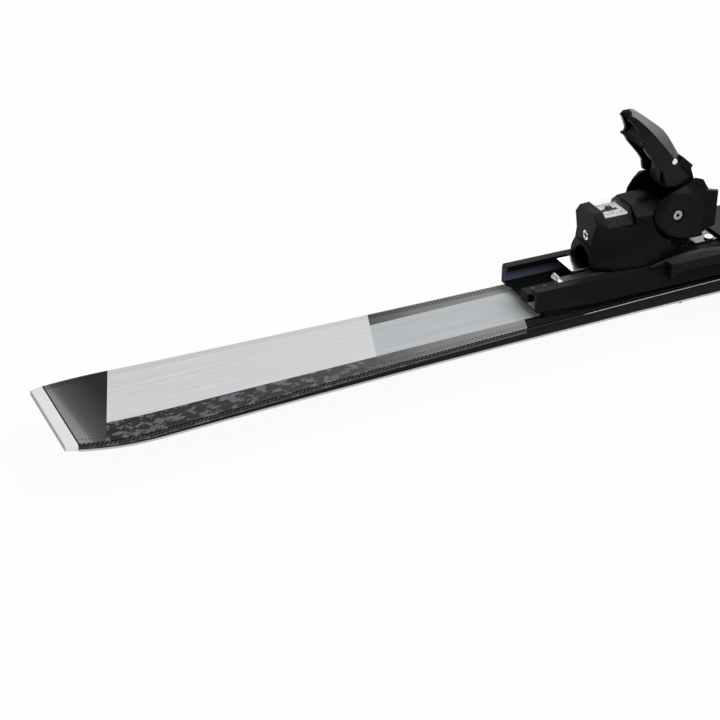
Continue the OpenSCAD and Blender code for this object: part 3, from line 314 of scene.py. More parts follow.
def skin(name, grid, finish, uv=None, smooth=35):
    """Mesh over a grid of points [station, place round the section, xyz] in mm. The sections close on
    themselves, and the first and the last are each closed with one face."""
    rows, cols = grid.shape[:2]
    index = np.arange(rows * cols).reshape(rows, cols)
    after = np.roll(index, -1, axis=1)
    quads = np.stack([index[:-1], after[:-1], after[1:], index[1:]], axis=-1).reshape(-1, 4)
    faces = [*quads.tolist(), index[0][::-1].tolist(), index[-1].tolist()]
    mesh = bpy.data.meshes.new(name)
    mesh.from_pydata((grid.reshape(-1, 3) * MM).tolist(), [], faces)
    if uv is not None:
        layer = mesh.uv_layers.new(name="along_and_edge")
        corner = np.zeros(len(mesh.loops), dtype=np.int32)
        mesh.loops.foreach_get("vertex_index", corner)
        layer.data.foreach_set("uv", uv.reshape(-1, 2)[corner].astype(np.float32).ravel())
    work = bmesh.new()
    work.from_mesh(mesh)
    bmesh.ops.remove_doubles(work, verts=work.verts, dist=1e-7)
    bmesh.ops.recalc_face_normals(work, faces=work.faces)
    work.to_mesh(mesh)
    work.free()
    mesh.shade_smooth()
    mesh.set_sharp_from_angle(angle=math.radians(smooth))
    mesh.materials.append(finish)
    piece = bpy.data.objects.new(name, mesh)
    bpy.context.scene.collection.objects.link(piece)
    return piece


def layer_sections(x, near, far, low, high, radius, steps=2, fill=0):
    """Closed sections across the ski, one for each x: from near to far and from low to high in mm, with
    quarter circles of the given radius at the corners, and extra points over the top and bottom."""
    turn_to = np.linspace(0, np.pi / 2, steps + 1)
    radius = np.minimum(radius, np.minimum(far - near, high - low) / 2.05)
    corners = []
    for mid_y, mid_z, in_y, in_z, start in ((far, high, -1, -1, 0.0), (near, high, 1, -1, 0.5),
                                            (near, low, 1, 1, 1.0), (far, low, -1, 1, 1.5)):
        angle = start * np.pi + turn_to
        round_y = (mid_y + in_y * radius)[:, None] + radius[:, None] * np.cos(angle)
        round_z = (mid_z + in_z * radius)[:, None] + radius[:, None] * np.sin(angle)
        corners.append(np.stack([round_y, round_z], axis=-1))
    rows = []
    for k, corner in enumerate(corners):
        rows.append(corner)
        if fill and k in (0, 2):
            after = corners[k + 1][:, 0]
            share = np.linspace(0, 1, fill + 2)[1:-1][None, :, None]
            rows.append(corner[:, -1][:, None] * (1 - share) + after[:, None] * share)
    ring = np.concatenate(rows, axis=1)
    return np.concatenate([np.broadcast_to(x[:, None, None], (*ring.shape[:2], 1)), ring], axis=-1)


stations = np.unique(np.concatenate([np.linspace(tail_joint, kick_x, 24), np.linspace(kick_x, shovel_x, 150),
                                     np.linspace(shovel_x, tip_joint, 40)]))
under = running_z(stations)
over = under + thickness(stations)
half_w = edge_half(stations)


# Running base and steel edges. The base is a strip of sintered polyethylene with a stone-ground
# structure, glued under the core between two hardened steel edges, which are ground bright.
def fitted(piece, body, node):
    """Hangs a piece under the empty of the body it moves with, and hides the imported node it stands for."""
    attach(piece, body)
    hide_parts(node)


edge_w, edge_h = 2.0, 1.9
base_plastic = Finish("running_base")
groove = base_plastic.noise((12, 2600, 1), detail=4.0, rough=0.7)
cross = base_plastic.noise((700, 900, 1), detail=3.0)
waxed = base_plastic.noise((9, 22, 1), detail=3.0)
base_finish = base_plastic.surface(
    Base_Color=base_plastic.mix(groove * 0.5 + cross * 0.3, shade("b4b6b8"), shade("dcdddd")),
    Roughness=0.34 + 0.18 * waxed, Normal=base_plastic.bump(groove + cross * 0.4, 0.00004, 0.6))
base_sections = layer_sections(stations, edge_w - half_w, half_w - edge_w, under, under + edge_h, 0.12,
                               steps=1, fill=15)
fitted(skin("running_base", base_sections, base_finish), "ski", "base_sheet")

ground = Finish("edge_steel")
scratch = ground.noise((4200, 60, 60), detail=2.0, rough=0.6)
stain = ground.noise((40, 40, 40), detail=4.0)
edge_finish = ground.surface(
    Base_Color=ground.mix(scratch * 0.6 + stain * 0.4, shade("a2a4a6"), shade("d4d5d6")), Metallic=1.0,
    Roughness=0.24 + 0.2 * stain, Normal=ground.bump(scratch, 0.00002, 0.5))
for side, name in ((1, "steel_edge_left"), (-1, "steel_edge_right")):
    outer_y, inner_y = side * half_w, side * (half_w - edge_w)
    edge_sections = layer_sections(stations, np.minimum(outer_y, inner_y), np.maximum(outer_y, inner_y),
                                   under, under + edge_h, 0.14)
    fitted(skin(name, edge_sections, edge_finish), "ski", "steel_edges")


# Wood core, sidewalls and metal sheet. The core is glued from ash and poplar strips under a metal
# sheet. A black plastic sidewall closes each side, milled to a slight slant. On the tail the top
# sheet's print is rolled down over the edges of the metal sheet and the sidewall.
top_sheet_t, metal_t, sheet_step = 0.8, 0.6, 1.5
sidewall_step, sidewall_w, sidewall_slant = 0.7, 5.0, 0.4
core_top = over - top_sheet_t - metal_t
side_print_end, side_print_h, side_ink_end = 389, 3.9, 446
dash = {"pitch": 3.5, "start": 0.05, "stop": 0.82, "soft": 0.08}

wood = Finish("core_wood")
strip = (wood.millimetres()[1] * 0.11).math("FRACT")
rings = wood.noise((9, 260, 260), detail=6.0, rough=0.6)
core_finish = wood.surface(
    Base_Color=wood.mix(rings * 0.7 + strip * 0.3, shade("a98052"), shade("d9bc8e")),
    Roughness=0.5 + 0.2 * rings, Normal=wood.bump(rings, 0.0001, 0.5))
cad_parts["wood_core"].data.materials.clear()
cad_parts["wood_core"].data.materials.append(core_finish)

wall_plastic = Finish("sidewall_black")
milled = wall_plastic.noise((30, 30, 2400), detail=3.0)
dust = wall_plastic.noise((18, 18, 140), detail=4.0)
wall_map = wall_plastic.millimetres(wall_plastic.add("ShaderNodeUVMap", {"uv_map": "along_and_edge"}))
wall_s, wall_depth = wall_map[0] - tail_joint, wall_map[1]
wall_patch = wall_plastic.noise((150, 150, 300), detail=3.0).above(0.55, 0.04)
wall_print = wall_plastic.greys(wall_s, 0, 404, ((0, 62), (180, 72), (300, 76), (402, 90)))
wall_print = wall_plastic.mix(wall_patch * wall_s.below(290, 40) * 0.5, wall_print, shade("7c7c7e"))
wall_dash = (wall_s + wall_depth).stripes(**dash) * wall_depth.below(2.4, 0.2)
wall_print = wall_plastic.mix(wall_dash, wall_print, shade("0a0a0b"))
printed = wall_depth.below(side_print_h, 0.3) * wall_s.below(side_print_end, 1)
wall_tone = wall_plastic.mix(dust, shade("090909"), shade("131314"))
wall_finish = wall_plastic.surface(
    Base_Color=wall_plastic.mix(printed, wall_tone, wall_print), Roughness=0.3 + 0.2 * dust,
    Specular_IOR_Level=0.1, Normal=wall_plastic.bump(milled, 0.00003, 0.5))
for side, name in ((1, "sidewall_left"), (-1, "sidewall_right")):
    outer_y, inner_y = side * (half_w - sidewall_step), side * (half_w - sidewall_step - sidewall_w)
    wall = layer_sections(stations, np.minimum(outer_y, inner_y), np.maximum(outer_y, inner_y),
                          under + edge_h, core_top, 0.25)
    rise = (wall[..., 2] - under[:, None]) / thickness(stations)[:, None]
    outer_face = np.abs(wall[..., 1]) > (half_w - 3)[:, None]
    wall[..., 1] -= side * sidewall_slant * rise * outer_face
    wall_uv = np.stack([wall[..., 0] * MM, (over[:, None] - wall[..., 2]) * MM], axis=-1)
    fitted(skin(name, wall, wall_finish, uv=wall_uv), "ski", "sidewalls")

sheet_alloy = Finish("sheet_metal")
rolled = sheet_alloy.noise((14, 3000, 3000), detail=3.0)
sheet_s = sheet_alloy.millimetres()[0] - tail_joint
inked = sheet_s.below(side_ink_end, 8)
ink_gaps = (1 - (sheet_s + 1.1).stripes(**dash)) * sheet_s.below(side_print_end)
ink_tone = sheet_alloy.mix(ink_gaps, shade("101011"), shade("5c5d5f"))
sheet_tone = sheet_alloy.mix(rolled, shade("8e9092"), shade("c2c4c6"))
sheet_finish = sheet_alloy.surface(
    Base_Color=sheet_alloy.mix(inked, sheet_tone, ink_tone), Metallic=0.9 - 0.8 * inked,
    Roughness=0.3 + 0.2 * rolled, Normal=sheet_alloy.bump(rolled, 0.00002, 0.4))
metal_step = (sidewall_step + sheet_step) / 2
metal_sections = layer_sections(stations, metal_step - half_w, half_w - metal_step, core_top,
                                over - top_sheet_t, 0.08, steps=1)
fitted(skin("metal_sheet", metal_sections, sheet_finish), "ski", "metal_sheet")


# Top sheet. A clear plastic film printed from behind: brushed silver panels near the tail and the
# tip, a silver band between them, a ground that turns from grey to black, a mottled strip beside the
# tail's panel, and rows of dashes along the edges. The print's cross lines run on a slant.
panel_from, panel_to, black_from = 38.3, 266.8, 403
front_from, front_to = 1180, 1395
strip_from, strip_to = 38, 292
panel_rim, band_half, slant = -24, 23.8, 0.345
print_film = Finish("top_sheet")
film_x, y = print_film.millimetres()[:2]
s = film_x - tail_joint
ahead = s - y * slant
from_edge = print_film.millimetres(print_film.add("ShaderNodeUVMap", {"uv_map": "along_and_edge"}))[1]
streak = print_film.noise((5, 900, 1), detail=5.0, rough=0.62)
fine = print_film.noise((22, 4200, 1), detail=2.0)
soft_cloud = print_film.noise((7, 16, 1), detail=2.0)
brushing = (streak * 0.6 + fine * 0.4).above(0.5, 0.42)
silver = print_film.mix(brushing, shade("c6c8ca"), shade("e1e3e5"))
band_silver = print_film.mix(brushing, shade("aeb1b3"), shade("c8cbcd"))

# The tail's grey ground is print that darkens towards the panel. A painted metallic sheen makes its end
# pale.
tail_ground_and_sheen = print_film.greys(s + y * 0.065, 0, 50, (
    (0, 142), (7, 128), (8.5, 110), (10.5, 93), (15.5, 77), (20.5, 69), (28.5, 57), (36.5, 43), (44, 36)))
ground_grey = print_film.greys(ahead, 40, 420, (
    (44, 40), (70, 45), (110, 52), (160, 59), (210, 69), (262, 84), (290, 104), (310, 122), (340, 130),
    (370, 138), (400, 145)))
blot = print_film.noise((74, 115, 1), detail=7.0, rough=0.7)
flake = print_film.add("ShaderNodeTexVoronoi", {"voronoi_dimensions": "2D"},
                       {"Vector": print_film.stretched(210, 300, 1), "Scale": 1.0}, output=1)
patch = (blot + print_film.split(flake)[0] * 0.13).above(0.6, 0.008)
flakes = print_film.greys(s, 30, 310, ((40, 100), (150, 106), (250, 122), (300, 130)))
flakes = print_film.mix(0.35, flakes, shade("6a6e7c"))
mottled = print_film.mix(patch * s.below(270, 70), ground_grey, flakes)
black = print_film.mix(soft_cloud, shade("050506"), shade("0c0c0d"))

near_strip = y.below(panel_rim)
rear_panel = y.above(panel_rim) * ahead.between(panel_from, panel_to)
front_panel = y.above(panel_rim) * ahead.between(front_from, front_to)
band = abs(y).below(band_half) * ahead.between(panel_to, front_from)
black_zone = ahead.above(black_from)
colour = tail_ground_and_sheen
for share, paint in (
        (near_strip * ahead.above(strip_from, 2) * s.below(strip_to, 10), mottled),
        (s.above(288, 12) * abs(y).above(band_half), ground_grey),
        (ahead.above(266.5), ground_grey),
        (near_strip * ahead.between(strip_from, strip_to) * s.below(strip_to - 2, 8), mottled),
        (black_zone, black),
        (rear_panel, silver),
        (band, band_silver),
        (front_panel, silver),
        (s.above(1450, 90) * 0.55, shade("8b8b8b"))):
    colour = print_film.mix(share, colour, paint)

near_side = y.below(0)
near_row = (s + from_edge * 0.8).stripes(**dash) * from_edge.below(0.7, 0.3) * near_side
near_line = from_edge.between(3.3, 4.2, 0.3) * near_side * s.above(60)
near_dots = (s / 2.9).math("FRACT").above(0.4, 0.1) * from_edge.between(5.9, 6.9, 0.2) * near_side
far_dash = (s + from_edge * 1.1).stripes(3.3, 0.16, 0.56, 0.1)
far_row = far_dash * from_edge.between(1.4, 7.6, 0.4) * (1 - near_side)
fine_hatch = (s + from_edge * 1.3).stripes(5.0, 0.2, 0.5, 0.1) * from_edge.between(1.0, 12, 0.6)
panels = rear_panel + front_panel
grey_zone = (1 - panels) * (1 - black_zone)
end_lines = s.below(1.3) + s.above(1614.6)
for share, ink in (
        (near_row * grey_zone, "080809"),
        (near_dots * grey_zone * 0.85, "1c1c1d"),
        (near_line * grey_zone * 0.45, "2c2c2d"),
        (far_row * grey_zone * 0.95, "121213"),
        (far_row * panels * 0.35, "a4a7aa"),
        (fine_hatch * black_zone, "3e3f41"),
        (from_edge.below(0.7, 0.2) * black_zone, "101011"),
        (end_lines, "0b0b0c")):
    colour = print_film.mix(share, colour, shade(ink))

orange_peel = print_film.noise((420, 420, 1), detail=1.0)
relief = print_film.bump((near_row + far_row) * 0.6 + fine * 0.12, 0.0002, 0.55)
relief = print_film.bump(orange_peel, 0.00003, 0.25, relief)
print_finish = print_film.surface(
    Base_Color=colour, Metallic=panels * 0.06 + band * 0.08, Roughness=0.36 + 0.14 * soft_cloud,
    Specular_IOR_Level=0.05, Normal=relief)
film = layer_sections(stations, sheet_step - half_w, half_w - sheet_step, over - top_sheet_t, over, 0.5,
                      steps=3, fill=31)
film_edge = half_w[:, None] - sheet_step - np.abs(film[..., 1])
film_uv = np.stack([film[..., 0] * MM, film_edge * MM], axis=-1)
fitted(skin("top_sheet", film, print_finish, uv=film_uv), "ski", "top_sheet")


# Protectors. A white moulded plastic block closes the tail and a longer one the tip, glued against
# the layers' ends. Their edges are rounded and their faces a fine satin. The tail's end face is painted
# darker, as shade.
white_block = Finish("protector_white")
speck = white_block.noise((900, 900, 900), detail=2.0)
cloud = white_block.noise((25, 25, 25), detail=3.0)
# The tail's end face is painted darker, as shade.
end_face_shade = white_block.millimetres()[0].below(0.5 - half_l, 0.6)
block_tone = white_block.mix(cloud, shade("e8e6e7"), shade("f3f1f1"))
white_finish = white_block.surface(
    Base_Color=white_block.mix(end_face_shade, block_tone, shade("a7a5a6")), Roughness=0.36 + 0.14 * cloud,
    Normal=white_block.bump(speck, 0.00003, 0.4))


def block_sections(x):
    """Sections of a protector: the ski's full thickness, an outline 0.75 mm inside the steel edges, and
    corners rounded by 0.8 mm."""
    wide = np.maximum(edge_half(x) - 0.75, 0.8)
    return layer_sections(x, -wide, wide, running_z(x), running_z(x) + thickness(x), 0.8, steps=4, fill=11)


tail_x = tail_joint - np.array([10.0, 9.7, 9.2, 8, 6, 4, 2, 0])
tail_block = block_sections(tail_x)
# The last half millimetre is drawn in towards its middle height, which rounds the tail's end.
squeeze = np.array([0.15, 0.05, 0, 0, 0, 0, 0, 0])[:, None]
tail_block[..., 2] -= (tail_block[..., 2] - tail_block[..., 2].mean(axis=1, keepdims=True)) * squeeze
fitted(skin("tail_protector", tail_block, white_finish), "ski", "tail_protector")
tip_x = half_l - (half_l - tip_joint) * (1 - np.sin(np.linspace(0, np.pi / 2, 28)))
tip_x[-1] = half_l - 0.05  # just short of the point where the outline closes
fitted(skin("tip_protector", block_sections(tip_x), white_finish), "ski", "tip_protector")


# Heel track and its riser. A rubber pad carries a long black nylon rail with a channel down its
# middle. Six countersunk screws hold it to the ski, and a toothed steel rack lies in the channel.
def moulded(name, dark_tone, light_tone, rough=0.34, grain_size=2600, grain_depth=0.00003, specular=0.07,
            marks=None, tints=None):
    """Black moulded plastic: two close tones in soft clouds, a fine spark-eroded grain and slight flow
    marks in the gloss. Marks is a share that is cut in and painted dark as shade in the cut; tints gives
    pairs of a share and a tone."""
    plastic = Finish(name)
    flow = plastic.noise((38, 38, 38), detail=4.0)
    pits = plastic.noise((grain_size, grain_size, grain_size), detail=2.0)
    rub = plastic.noise((260, 260, 260), detail=4.0)
    worn = rub.above(0.62, 0.14) * 0.35
    tone = plastic.mix(flow * 0.7 + worn, shade(dark_tone), shade(light_tone))
    relief = plastic.bump(pits, grain_depth, 0.5)
    for share, tint in tints(plastic) if tints else ():
        tone = plastic.mix(share, tone, shade(tint))
    if marks:
        # The cut lines are painted dark, as shade in the cuts.
        cut = marks(plastic)
        tone = plastic.mix(cut * 0.75, tone, shade("050505"))
        relief = plastic.bump(cut * -1.0, 0.0008, 1.0, relief)
    return plastic.surface(Base_Color=tone, Roughness=rough + 0.16 * flow + 0.06 * rub, Normal=relief,
                           Specular_IOR_Level=specular)


def bright(name, low_tone, high_tone, rough, recess_shade=None):
    """Plated or bare steel: fine drawn marks and faint clouds in the plating. Where a screw's recess is
    given, painted shade darkens it."""
    plating = Finish(name)
    drawn = plating.noise((900, 900, 900), detail=3.0)
    haze = plating.noise((90, 90, 90), detail=4.0)
    tone = plating.mix(drawn * 0.5 + haze * 0.5, shade(low_tone), shade(high_tone))
    # Painted shade in the screw's recess.
    if recess_shade:
        tone = plating.mix(recess_shade(plating), tone, shade("0c0c0d"))
    return plating.surface(Base_Color=tone, Metallic=1.0, Roughness=rough + 0.16 * haze,
                           Normal=plating.bump(drawn, 0.00002, 0.35))


def softened(node, edge, finish, body, corner=30):
    """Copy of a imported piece, fitted in its place: its loose triangles are welded, its flat faces joined,
    and a Bevel rounds every corner sharper than the given angle by edge mm. Each face keeps how far it
    looks up and forwards, which is its normal times the direction (0.35, 0, 0.937)."""
    work = bmesh.new()
    work.from_mesh(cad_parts[node].data)
    bmesh.ops.remove_doubles(work, verts=work.verts, dist=3e-6)
    bmesh.ops.dissolve_limit(work, angle_limit=math.radians(0.5), verts=work.verts, edges=work.edges)
    mesh = bpy.data.meshes.new(node)
    work.to_mesh(mesh)
    work.free()
    # How far each face looks up and forwards, kept for the painted sheen on such faces.
    facing = np.zeros(len(mesh.polygons) * 3)
    mesh.polygons.foreach_get("normal", facing)
    level_share = np.clip(facing.reshape(-1, 3) @ [0.35, 0.0, 0.937], 0, 1)
    level_face = mesh.attributes.new("level_face", "FLOAT", "FACE")
    level_face.data.foreach_set("value", level_share.astype(np.float32))
    mesh.shade_smooth()
    mesh.set_sharp_from_angle(angle=math.radians(corner))
    mesh.materials.clear()
    mesh.materials.append(finish)
    piece = bpy.data.objects.new(node, mesh)
    bpy.context.scene.collection.objects.link(piece)
    rounding = piece.modifiers.new("rounded_corners", "BEVEL")
    rounding.width = edge * MM
    rounding.segments = 2
    rounding.limit_method = "ANGLE"
    rounding.angle_limit = math.radians(corner)
    rounding.harden_normals = True
    fitted(piece, body, node)


def painted_sheen_faces(plastic, edge, soft=0.2):
    """Faces that look up and forwards, given a painted paler sheen where the lamps would light them."""
    return plastic.add("ShaderNodeAttribute", {"attribute_name": "level_face"}, output=2).above(edge, soft)


heel_x = -286.0


def channel_tints(plastic):
    """The level tops of the track's side walls with a painted sheen, the channel's far wall in blue-grey,
    the near groove at the rear end painted pale for the top sheet's light seen through its open end, and
    small pale moulding marks on top of the middle rib."""
    x, y, z = plastic.millimetres()
    along, height = x - heel_x, z - base_z
    # Painted sheen on the level tops of the side walls.
    rails = painted_sheen_faces(plastic, 0.9) * abs(y).above(15) * height.above(36)
    wall = y.between(24.5, 26.8) * height.between(23.2, 34.4, 0.3)
    # The near groove's rear end is painted pale for the light seen through its open end.
    groove = along.below(-119, 8) * y.between(-26.8, -15.1) * height.between(22.5, 33.5, 0.5)
    ribs = along.stripes(11, 0.2, 0.46) * y.between(-7.5, -5.5) * height.between(30.5, 31)
    return (rails, "242425"), (wall, "565f70"), (groove, "909296"), (ribs, "5a5b5e")


track_finish = moulded("track_black", "0a0a0b", "141415", rough=0.3, tints=channel_tints)
rubber_finish = moulded("rubber_black", "121213", "1f1f20", rough=0.62, grain_size=1200, grain_depth=0.00008)
steel_finish = bright("spring_steel", "84868a", "b4b6b9", rough=0.24)
softened("heel_riser", 0.5, rubber_finish, "ski")
softened("heel_track", 0.45, track_finish, "ski")
softened("lock_rack", 0.15, steel_finish, "ski")
softened("heel_track_screws", 0.2, steel_finish, "ski")


# Heel carriage. A black cast slide runs in the track's channel under a chromed steel plate, which
# two screws hold. A spring-steel tab with a curled end, punched with dots, locks it to the rack. The
# plate's colour carries a painted white reflection at its rear lip and painted shade under the housing.
satin_finish = moulded("satin_black", "0b0b0c", "161617", rough=0.34)
chrome_finish = bright("chrome", "d8dadc", "f4f5f6", rough=0.12)
softened("heel_carriage", 0.4, satin_finish, "heel_unit")
plate_metal = Finish("plate_chrome")
brushed_plate = plate_metal.noise((60, 1800, 900), detail=3.0)
# Painted reflection, white at the rear lip, and painted shade under the housing.
plate_reflection_and_shade = plate_metal.greys(plate_metal.millimetres()[0] - heel_x, -90, 80, (
    (-86, 246), (-79, 238), (-72, 150), (-66, 84), (0, 70), (74, 92)))
plate_finish = plate_metal.surface(
    Base_Color=plate_metal.mix(brushed_plate * 0.3, plate_reflection_and_shade, shade("8d8f92")), Metallic=1.0,
    Roughness=0.14 + 0.12 * brushed_plate, Normal=plate_metal.bump(brushed_plate, 0.00002, 0.3))
softened("carriage_plate", 0.3, plate_finish, "heel_unit")
softened("plate_screws", 0.35, chrome_finish, "heel_unit")
softened("lock_tab_pin", 0.3, chrome_finish, "heel_unit")
dot_pitch, curl_x = 2.0, heel_x - 97.5
tab_steel = Finish("tab_steel")
tab_x, tab_y = tab_steel.millimetres()[:2]
dot_x, dot_y = ((place / dot_pitch).math("FRACT") - 0.5 for place in (tab_x, tab_y))
dots = (dot_x * dot_x + dot_y * dot_y).below(0.06, 0.05) * tab_x.above(curl_x - 1)
curl = tab_x.below(curl_x, 1.6)
oiled = tab_steel.noise((200, 200, 200), detail=3.0)
tab_tone = tab_steel.mix(oiled, shade("161617"), shade("262728"))
tab_tone = tab_steel.mix(dots, tab_tone, shade("6a6b6d"))
tab_finish = tab_steel.surface(
    Base_Color=tab_steel.mix(curl, tab_tone, shade("d6d8da")), Metallic=0.4 + 0.6 * curl,
    Roughness=0.26 + 0.14 * oiled, Normal=tab_steel.bump(dots, 0.0002, 0.8))
softened("lock_tab", 0.25, tab_finish, "tab")


# Heel housing. One moulding of glass-filled nylon, wide at the pivots and waisted under them, with an
# arch at its rear over the plate and a recess on top for the scale under its clear window. The release
# spring, its piston, screw and nut lie in a bore along its middle.
pivot_ahead, pivot_h, release_h = 7, 82.3, 66.3


def pivot_recess_shade(plating):
    """The socket and a turned ring in the pivot screws' heads, both round the pivot's axis, painted dark
    as shade.
    """
    x, _, z = plating.millimetres()
    off_x, off_z = x - heel_x - pivot_ahead, z - base_z - pivot_h
    reach = (off_x * off_x + off_z * off_z) ** 0.5
    return reach.below(1.75, 0.1) + reach.between(2.7, 3.2, 0.1)


def release_slot_shade(plating):
    """The cross recess in the release screw's head, seen by its depth behind the head's face, painted dark
    as shade.
    """
    return (plating.millimetres()[0] - heel_x).between(-64.9, -62.0, 0.1)


body_finish = moulded("body_black", "080809", "111112", rough=0.28)
pivot_finish = bright("pivot_chrome", "a2a4a6", "c6c8ca", rough=0.16, recess_shade=pivot_recess_shade)
release_finish = bright("release_chrome", "d8dadc", "f4f5f6", rough=0.14, recess_shade=release_slot_shade)
softened("heel_housing", 0.7, body_finish, "heel_unit", corner=22)
softened("heel_pivot_screws", 0.35, pivot_finish, "heel_unit")
softened("heel_piston", 0.4, steel_finish, "heel_unit")
softened("heel_screw", 0.3, release_finish, "heel_adjuster")
softened("heel_spring_nut", 0.3, steel_finish, "heel_mark")
tick_pitch, tick_start, tick_from, tick_to = 2.75, -54.3, -53, -33.4
dial = Finish("scale_print")
dial_x, dial_y = dial.millimetres()[:2]
along, across = dial_x - heel_x, abs(dial_y)
tick = (along - tick_start).stripes(tick_pitch, 0.28, 0.72, 0.06)
tall = (along - tick_start).stripes(3 * tick_pitch, 0, 0.34)
ticks = tick * across.between(7.6 - tall * 1.4, 10.2)
rule = across.between(5.2, 5.6, 0.1)
paper = dial.noise((500, 500, 500), detail=3.0)
dial_ink = (ticks + rule) * along.between(tick_from, tick_to) * 0.9
dial_tone = dial.mix(paper, shade("e4e4e4"), shade("f4f4f4"))
scale_finish = dial.surface(
    Base_Color=dial.mix(dial_ink, dial_tone, shade("161617")), Roughness=0.4 + 0.1 * paper,
    Normal=dial.bump(paper, 0.00001, 0.3))
softened("heel_scale", 0.3, scale_finish, "heel_unit")
softened("heel_pointer", 0.3, satin_finish, "heel_mark")
glass = Finish("clear_window")
scuff = glass.noise((300, 300, 300), detail=4.0)
window_finish = glass.surface(
    Base_Color=glass.mix(scuff, shade("8d9297"), shade("b8bcc0")), Roughness=0.05 + 0.06 * scuff,
    Alpha=0.02 + 0.03 * scuff, Normal=glass.bump(scuff, 0.00001, 0.3))
softened("heel_window", 0.5, window_finish, "heel_unit")


def coil(name, axis_from, axis_to, radius, wire, turns, flat_ends=1.0):
    """Round steel wire carried along a helix: a ring of the wire's radius round each point of a helix of
    the given outer radius. The axis runs between two points in mm, and the flat ends are the turns at
    each end that don't climb, as on a ground compression spring."""
    start, stop = np.array(axis_from, float), np.array(axis_to, float)
    length = np.linalg.norm(stop - start)
    axis = (stop - start) / length
    across = np.cross(axis, [0.0, 0.0, 1.0] if abs(axis[2]) < 0.9 else [1.0, 0.0, 0.0])
    across /= np.linalg.norm(across)
    third = np.cross(axis, across)
    turned = np.linspace(0, turns, int(turns * 28))
    share = np.clip((turned - flat_ends) / (turns - 2 * flat_ends), 0, 1)
    lift = wire + (length - 2 * wire) * share
    angle = 2 * np.pi * turned
    radial = across * np.cos(angle)[:, None] + third * np.sin(angle)[:, None]
    middle = start + axis * lift[:, None] + radial * (radius - wire)
    tangent = np.gradient(middle, axis=0)
    tangent /= np.linalg.norm(tangent, axis=1, keepdims=True)
    second = np.cross(tangent, radial)
    ring = np.linspace(0, 2 * np.pi, 10, endpoint=False)
    grid = middle[:, None] + wire * (radial[:, None] * np.cos(ring)[None, :, None]
                                     + second[:, None] * np.sin(ring)[None, :, None])
    return skin(name, grid, steel_finish, smooth=60)


release_z = base_z + release_h
heel_spring = coil("heel_spring", (heel_x - 36.8, 0, release_z), (heel_x - 13, 0, release_z), 8.5, 1.2, 6.5)
fitted(heel_spring, "heel_unit", "heel_spring")


# Heel jaw. Two cheeks turn on the pivot screws and carry the cup that holds the boot's heel. The
# lever's pin runs through the hub between the ears. The tread below shuts the jaw as the boot steps in.
def chevron(plastic):
    """Two shallow lines cut in each cheek's flat, which meet at its front corner. Each is the distance
    from a line, which a point on it and the direction across it give."""
    x, y, z = plastic.millimetres()
    along, height = x - heel_x, z - base_z
    upper = (along - 27.6) * 0.7986 + (height - 98.9) * 0.6018
    lower = (along - 43.5) * 0.5965 - (height - 77.8) * 0.8026
    edge = upper.math("MAXIMUM", lower)
    return edge.between(-0.9, -0.3, 0.15) * height.between(61.5, 98.5) * along.above(21) * abs(y).above(26.2)


def cheek_highlight(plastic):
    """The cheeks' and the cup's upper rims, with a painted highlight."""
    along = plastic.millimetres()[0] - heel_x
    return ((painted_sheen_faces(plastic, 0.8, 0.3) * along.above(14, 8), "3c3c3e"),)


cheek_finish = moulded("cheek_black", "0a0a0b", "131314", rough=0.28, marks=chevron, tints=cheek_highlight)
softened("heel_jaw", 0.6, cheek_finish, "jaw", corner=24)
softened("jaw_tread", 0.5, satin_finish, "jaw")
softened("lever_pin", 0.3, chrome_finish, "jaw")


# Heel lever. A ridged moulding of black nylon on the lever's pin. A pole tip or a hand presses it
# down to free the boot. Its upper facets carry a painted highlight.
def lever_highlight(plastic):
    """The lever's upper facets, with a painted highlight that grows paler towards its tip from 128 mm
    over the running base.
    """
    height = plastic.millimetres()[2] - base_z
    return ((painted_sheen_faces(plastic, 0.55, 0.3) * (height - 128) / 40, "7c7d7f"),)


lever_finish = moulded("lever_black", "090909", "131314", rough=0.24, specular=0.14, tints=lever_highlight)
softened("heel_lever", 0.7, lever_finish, "lever", corner=20)


# Brake. Bent steel wire arms turn in the brake base on their axle, pushed open by two torsion
# springs. A moulded foot is pressed on each arm's end, and the boot's sole treads the pedal flat.
def base_highlight(plastic):
    """The base's level faces, with a painted sheen."""
    return ((painted_sheen_faces(plastic, 0.82, 0.16) * 0.8, "3a3a3c"),)


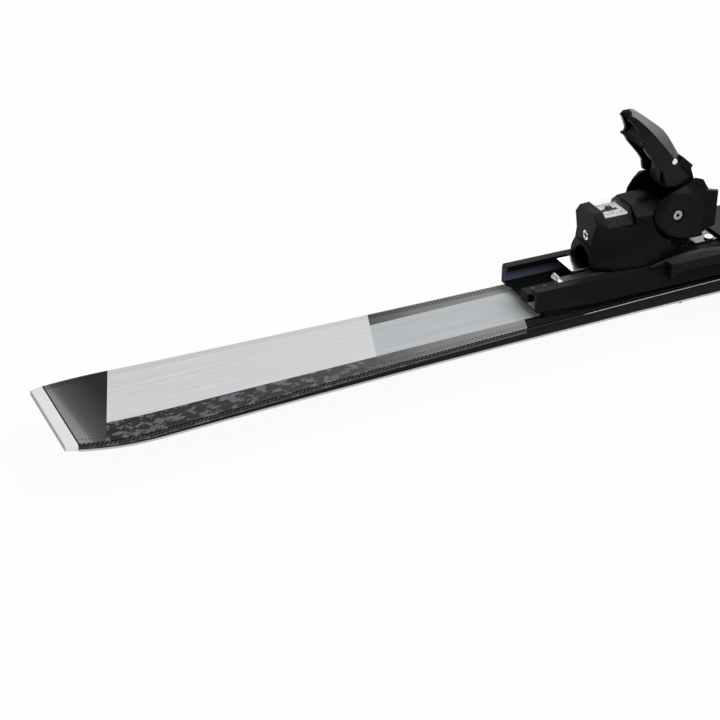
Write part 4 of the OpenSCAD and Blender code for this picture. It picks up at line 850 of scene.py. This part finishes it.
brake_base_finish = moulded("brake_base_black", "0b0b0c", "161617", tints=base_highlight)
softened("brake_base", 0.45, brake_base_finish, "heel_unit")
softened("brake_arms", 0.3, steel_finish, "brake")
softened("brake_feet", 0.8, body_finish, "brake")
softened("brake_pedal", 0.5, satin_finish, "brake")
axle_x, axle_z = heel_x + 111, base_z + brake_h
for side, name in ((-1, "brake_spring_right"), (1, "brake_spring_left")):
    brake_spring = coil(name, (axle_x, side * 13.6, axle_z), (axle_x, side * 24, axle_z), 5.6, 0.95, 5.2,
                        flat_ends=0.0)
    fitted(brake_spring, "heel_unit", "brake_spring")


# Toe piece. A rubber riser and a moulded track carry a steel base plate, held by four screws. The
# housing holds two wings on steel pins, and a piston and spring press them shut.
toe_track_finish = moulded("toe_track_black", "0a0a0b", "141415", rough=0.3)
wing_finish = moulded("wing_black", "090909", "131314", rough=0.24, specular=0.14)
softened("toe_riser", 0.5, rubber_finish, "ski")
softened("toe_track", 0.6, toe_track_finish, "ski")
softened("toe_base", 0.4, steel_finish, "ski")
softened("toe_screws", 0.3, chrome_finish, "ski")
softened("toe_housing", 0.9, body_finish, "ski", corner=22)
softened("toe_wing_left", 0.8, wing_finish, "wing_left")
softened("toe_wing_right", 0.8, wing_finish, "wing_right")
softened("toe_wing_pins", 0.4, chrome_finish, "ski")
softened("toe_piston", 0.4, steel_finish, "ski")
softened("toe_screw", 0.3, chrome_finish, "toe_adjuster")
softened("toe_spring_nut", 0.3, steel_finish, "toe_mark")
softened("toe_scale", 0.3, white_finish, "ski")
softened("toe_window", 0.5, window_finish, "ski")
softened("toe_pointer", 0.3, satin_finish, "toe_mark")
toe_z = base_z + 60
spring_from, spring_to = ((corner[0] / MM, 0, toe_z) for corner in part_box("toe_spring"))
toe_spring = coil("toe_spring", spring_from, spring_to, 8.5, 1.2, 7.5)
fitted(toe_spring, "ski", "toe_spring")


# Sliding pad. The carrier stands on its height screw, and the low-friction pad slides across it
# under the boot's toe, so that the toe can leave sideways.
softened("pad_carrier", 0.5, satin_finish, "pad_lifter")
softened("pad_screw", 0.3, chrome_finish, "pad_adjuster")
pad_finish = moulded("pad_grey", "37383a", "47484a", rough=0.3)
softened("sliding_pad", 0.5, pad_finish, "pad")
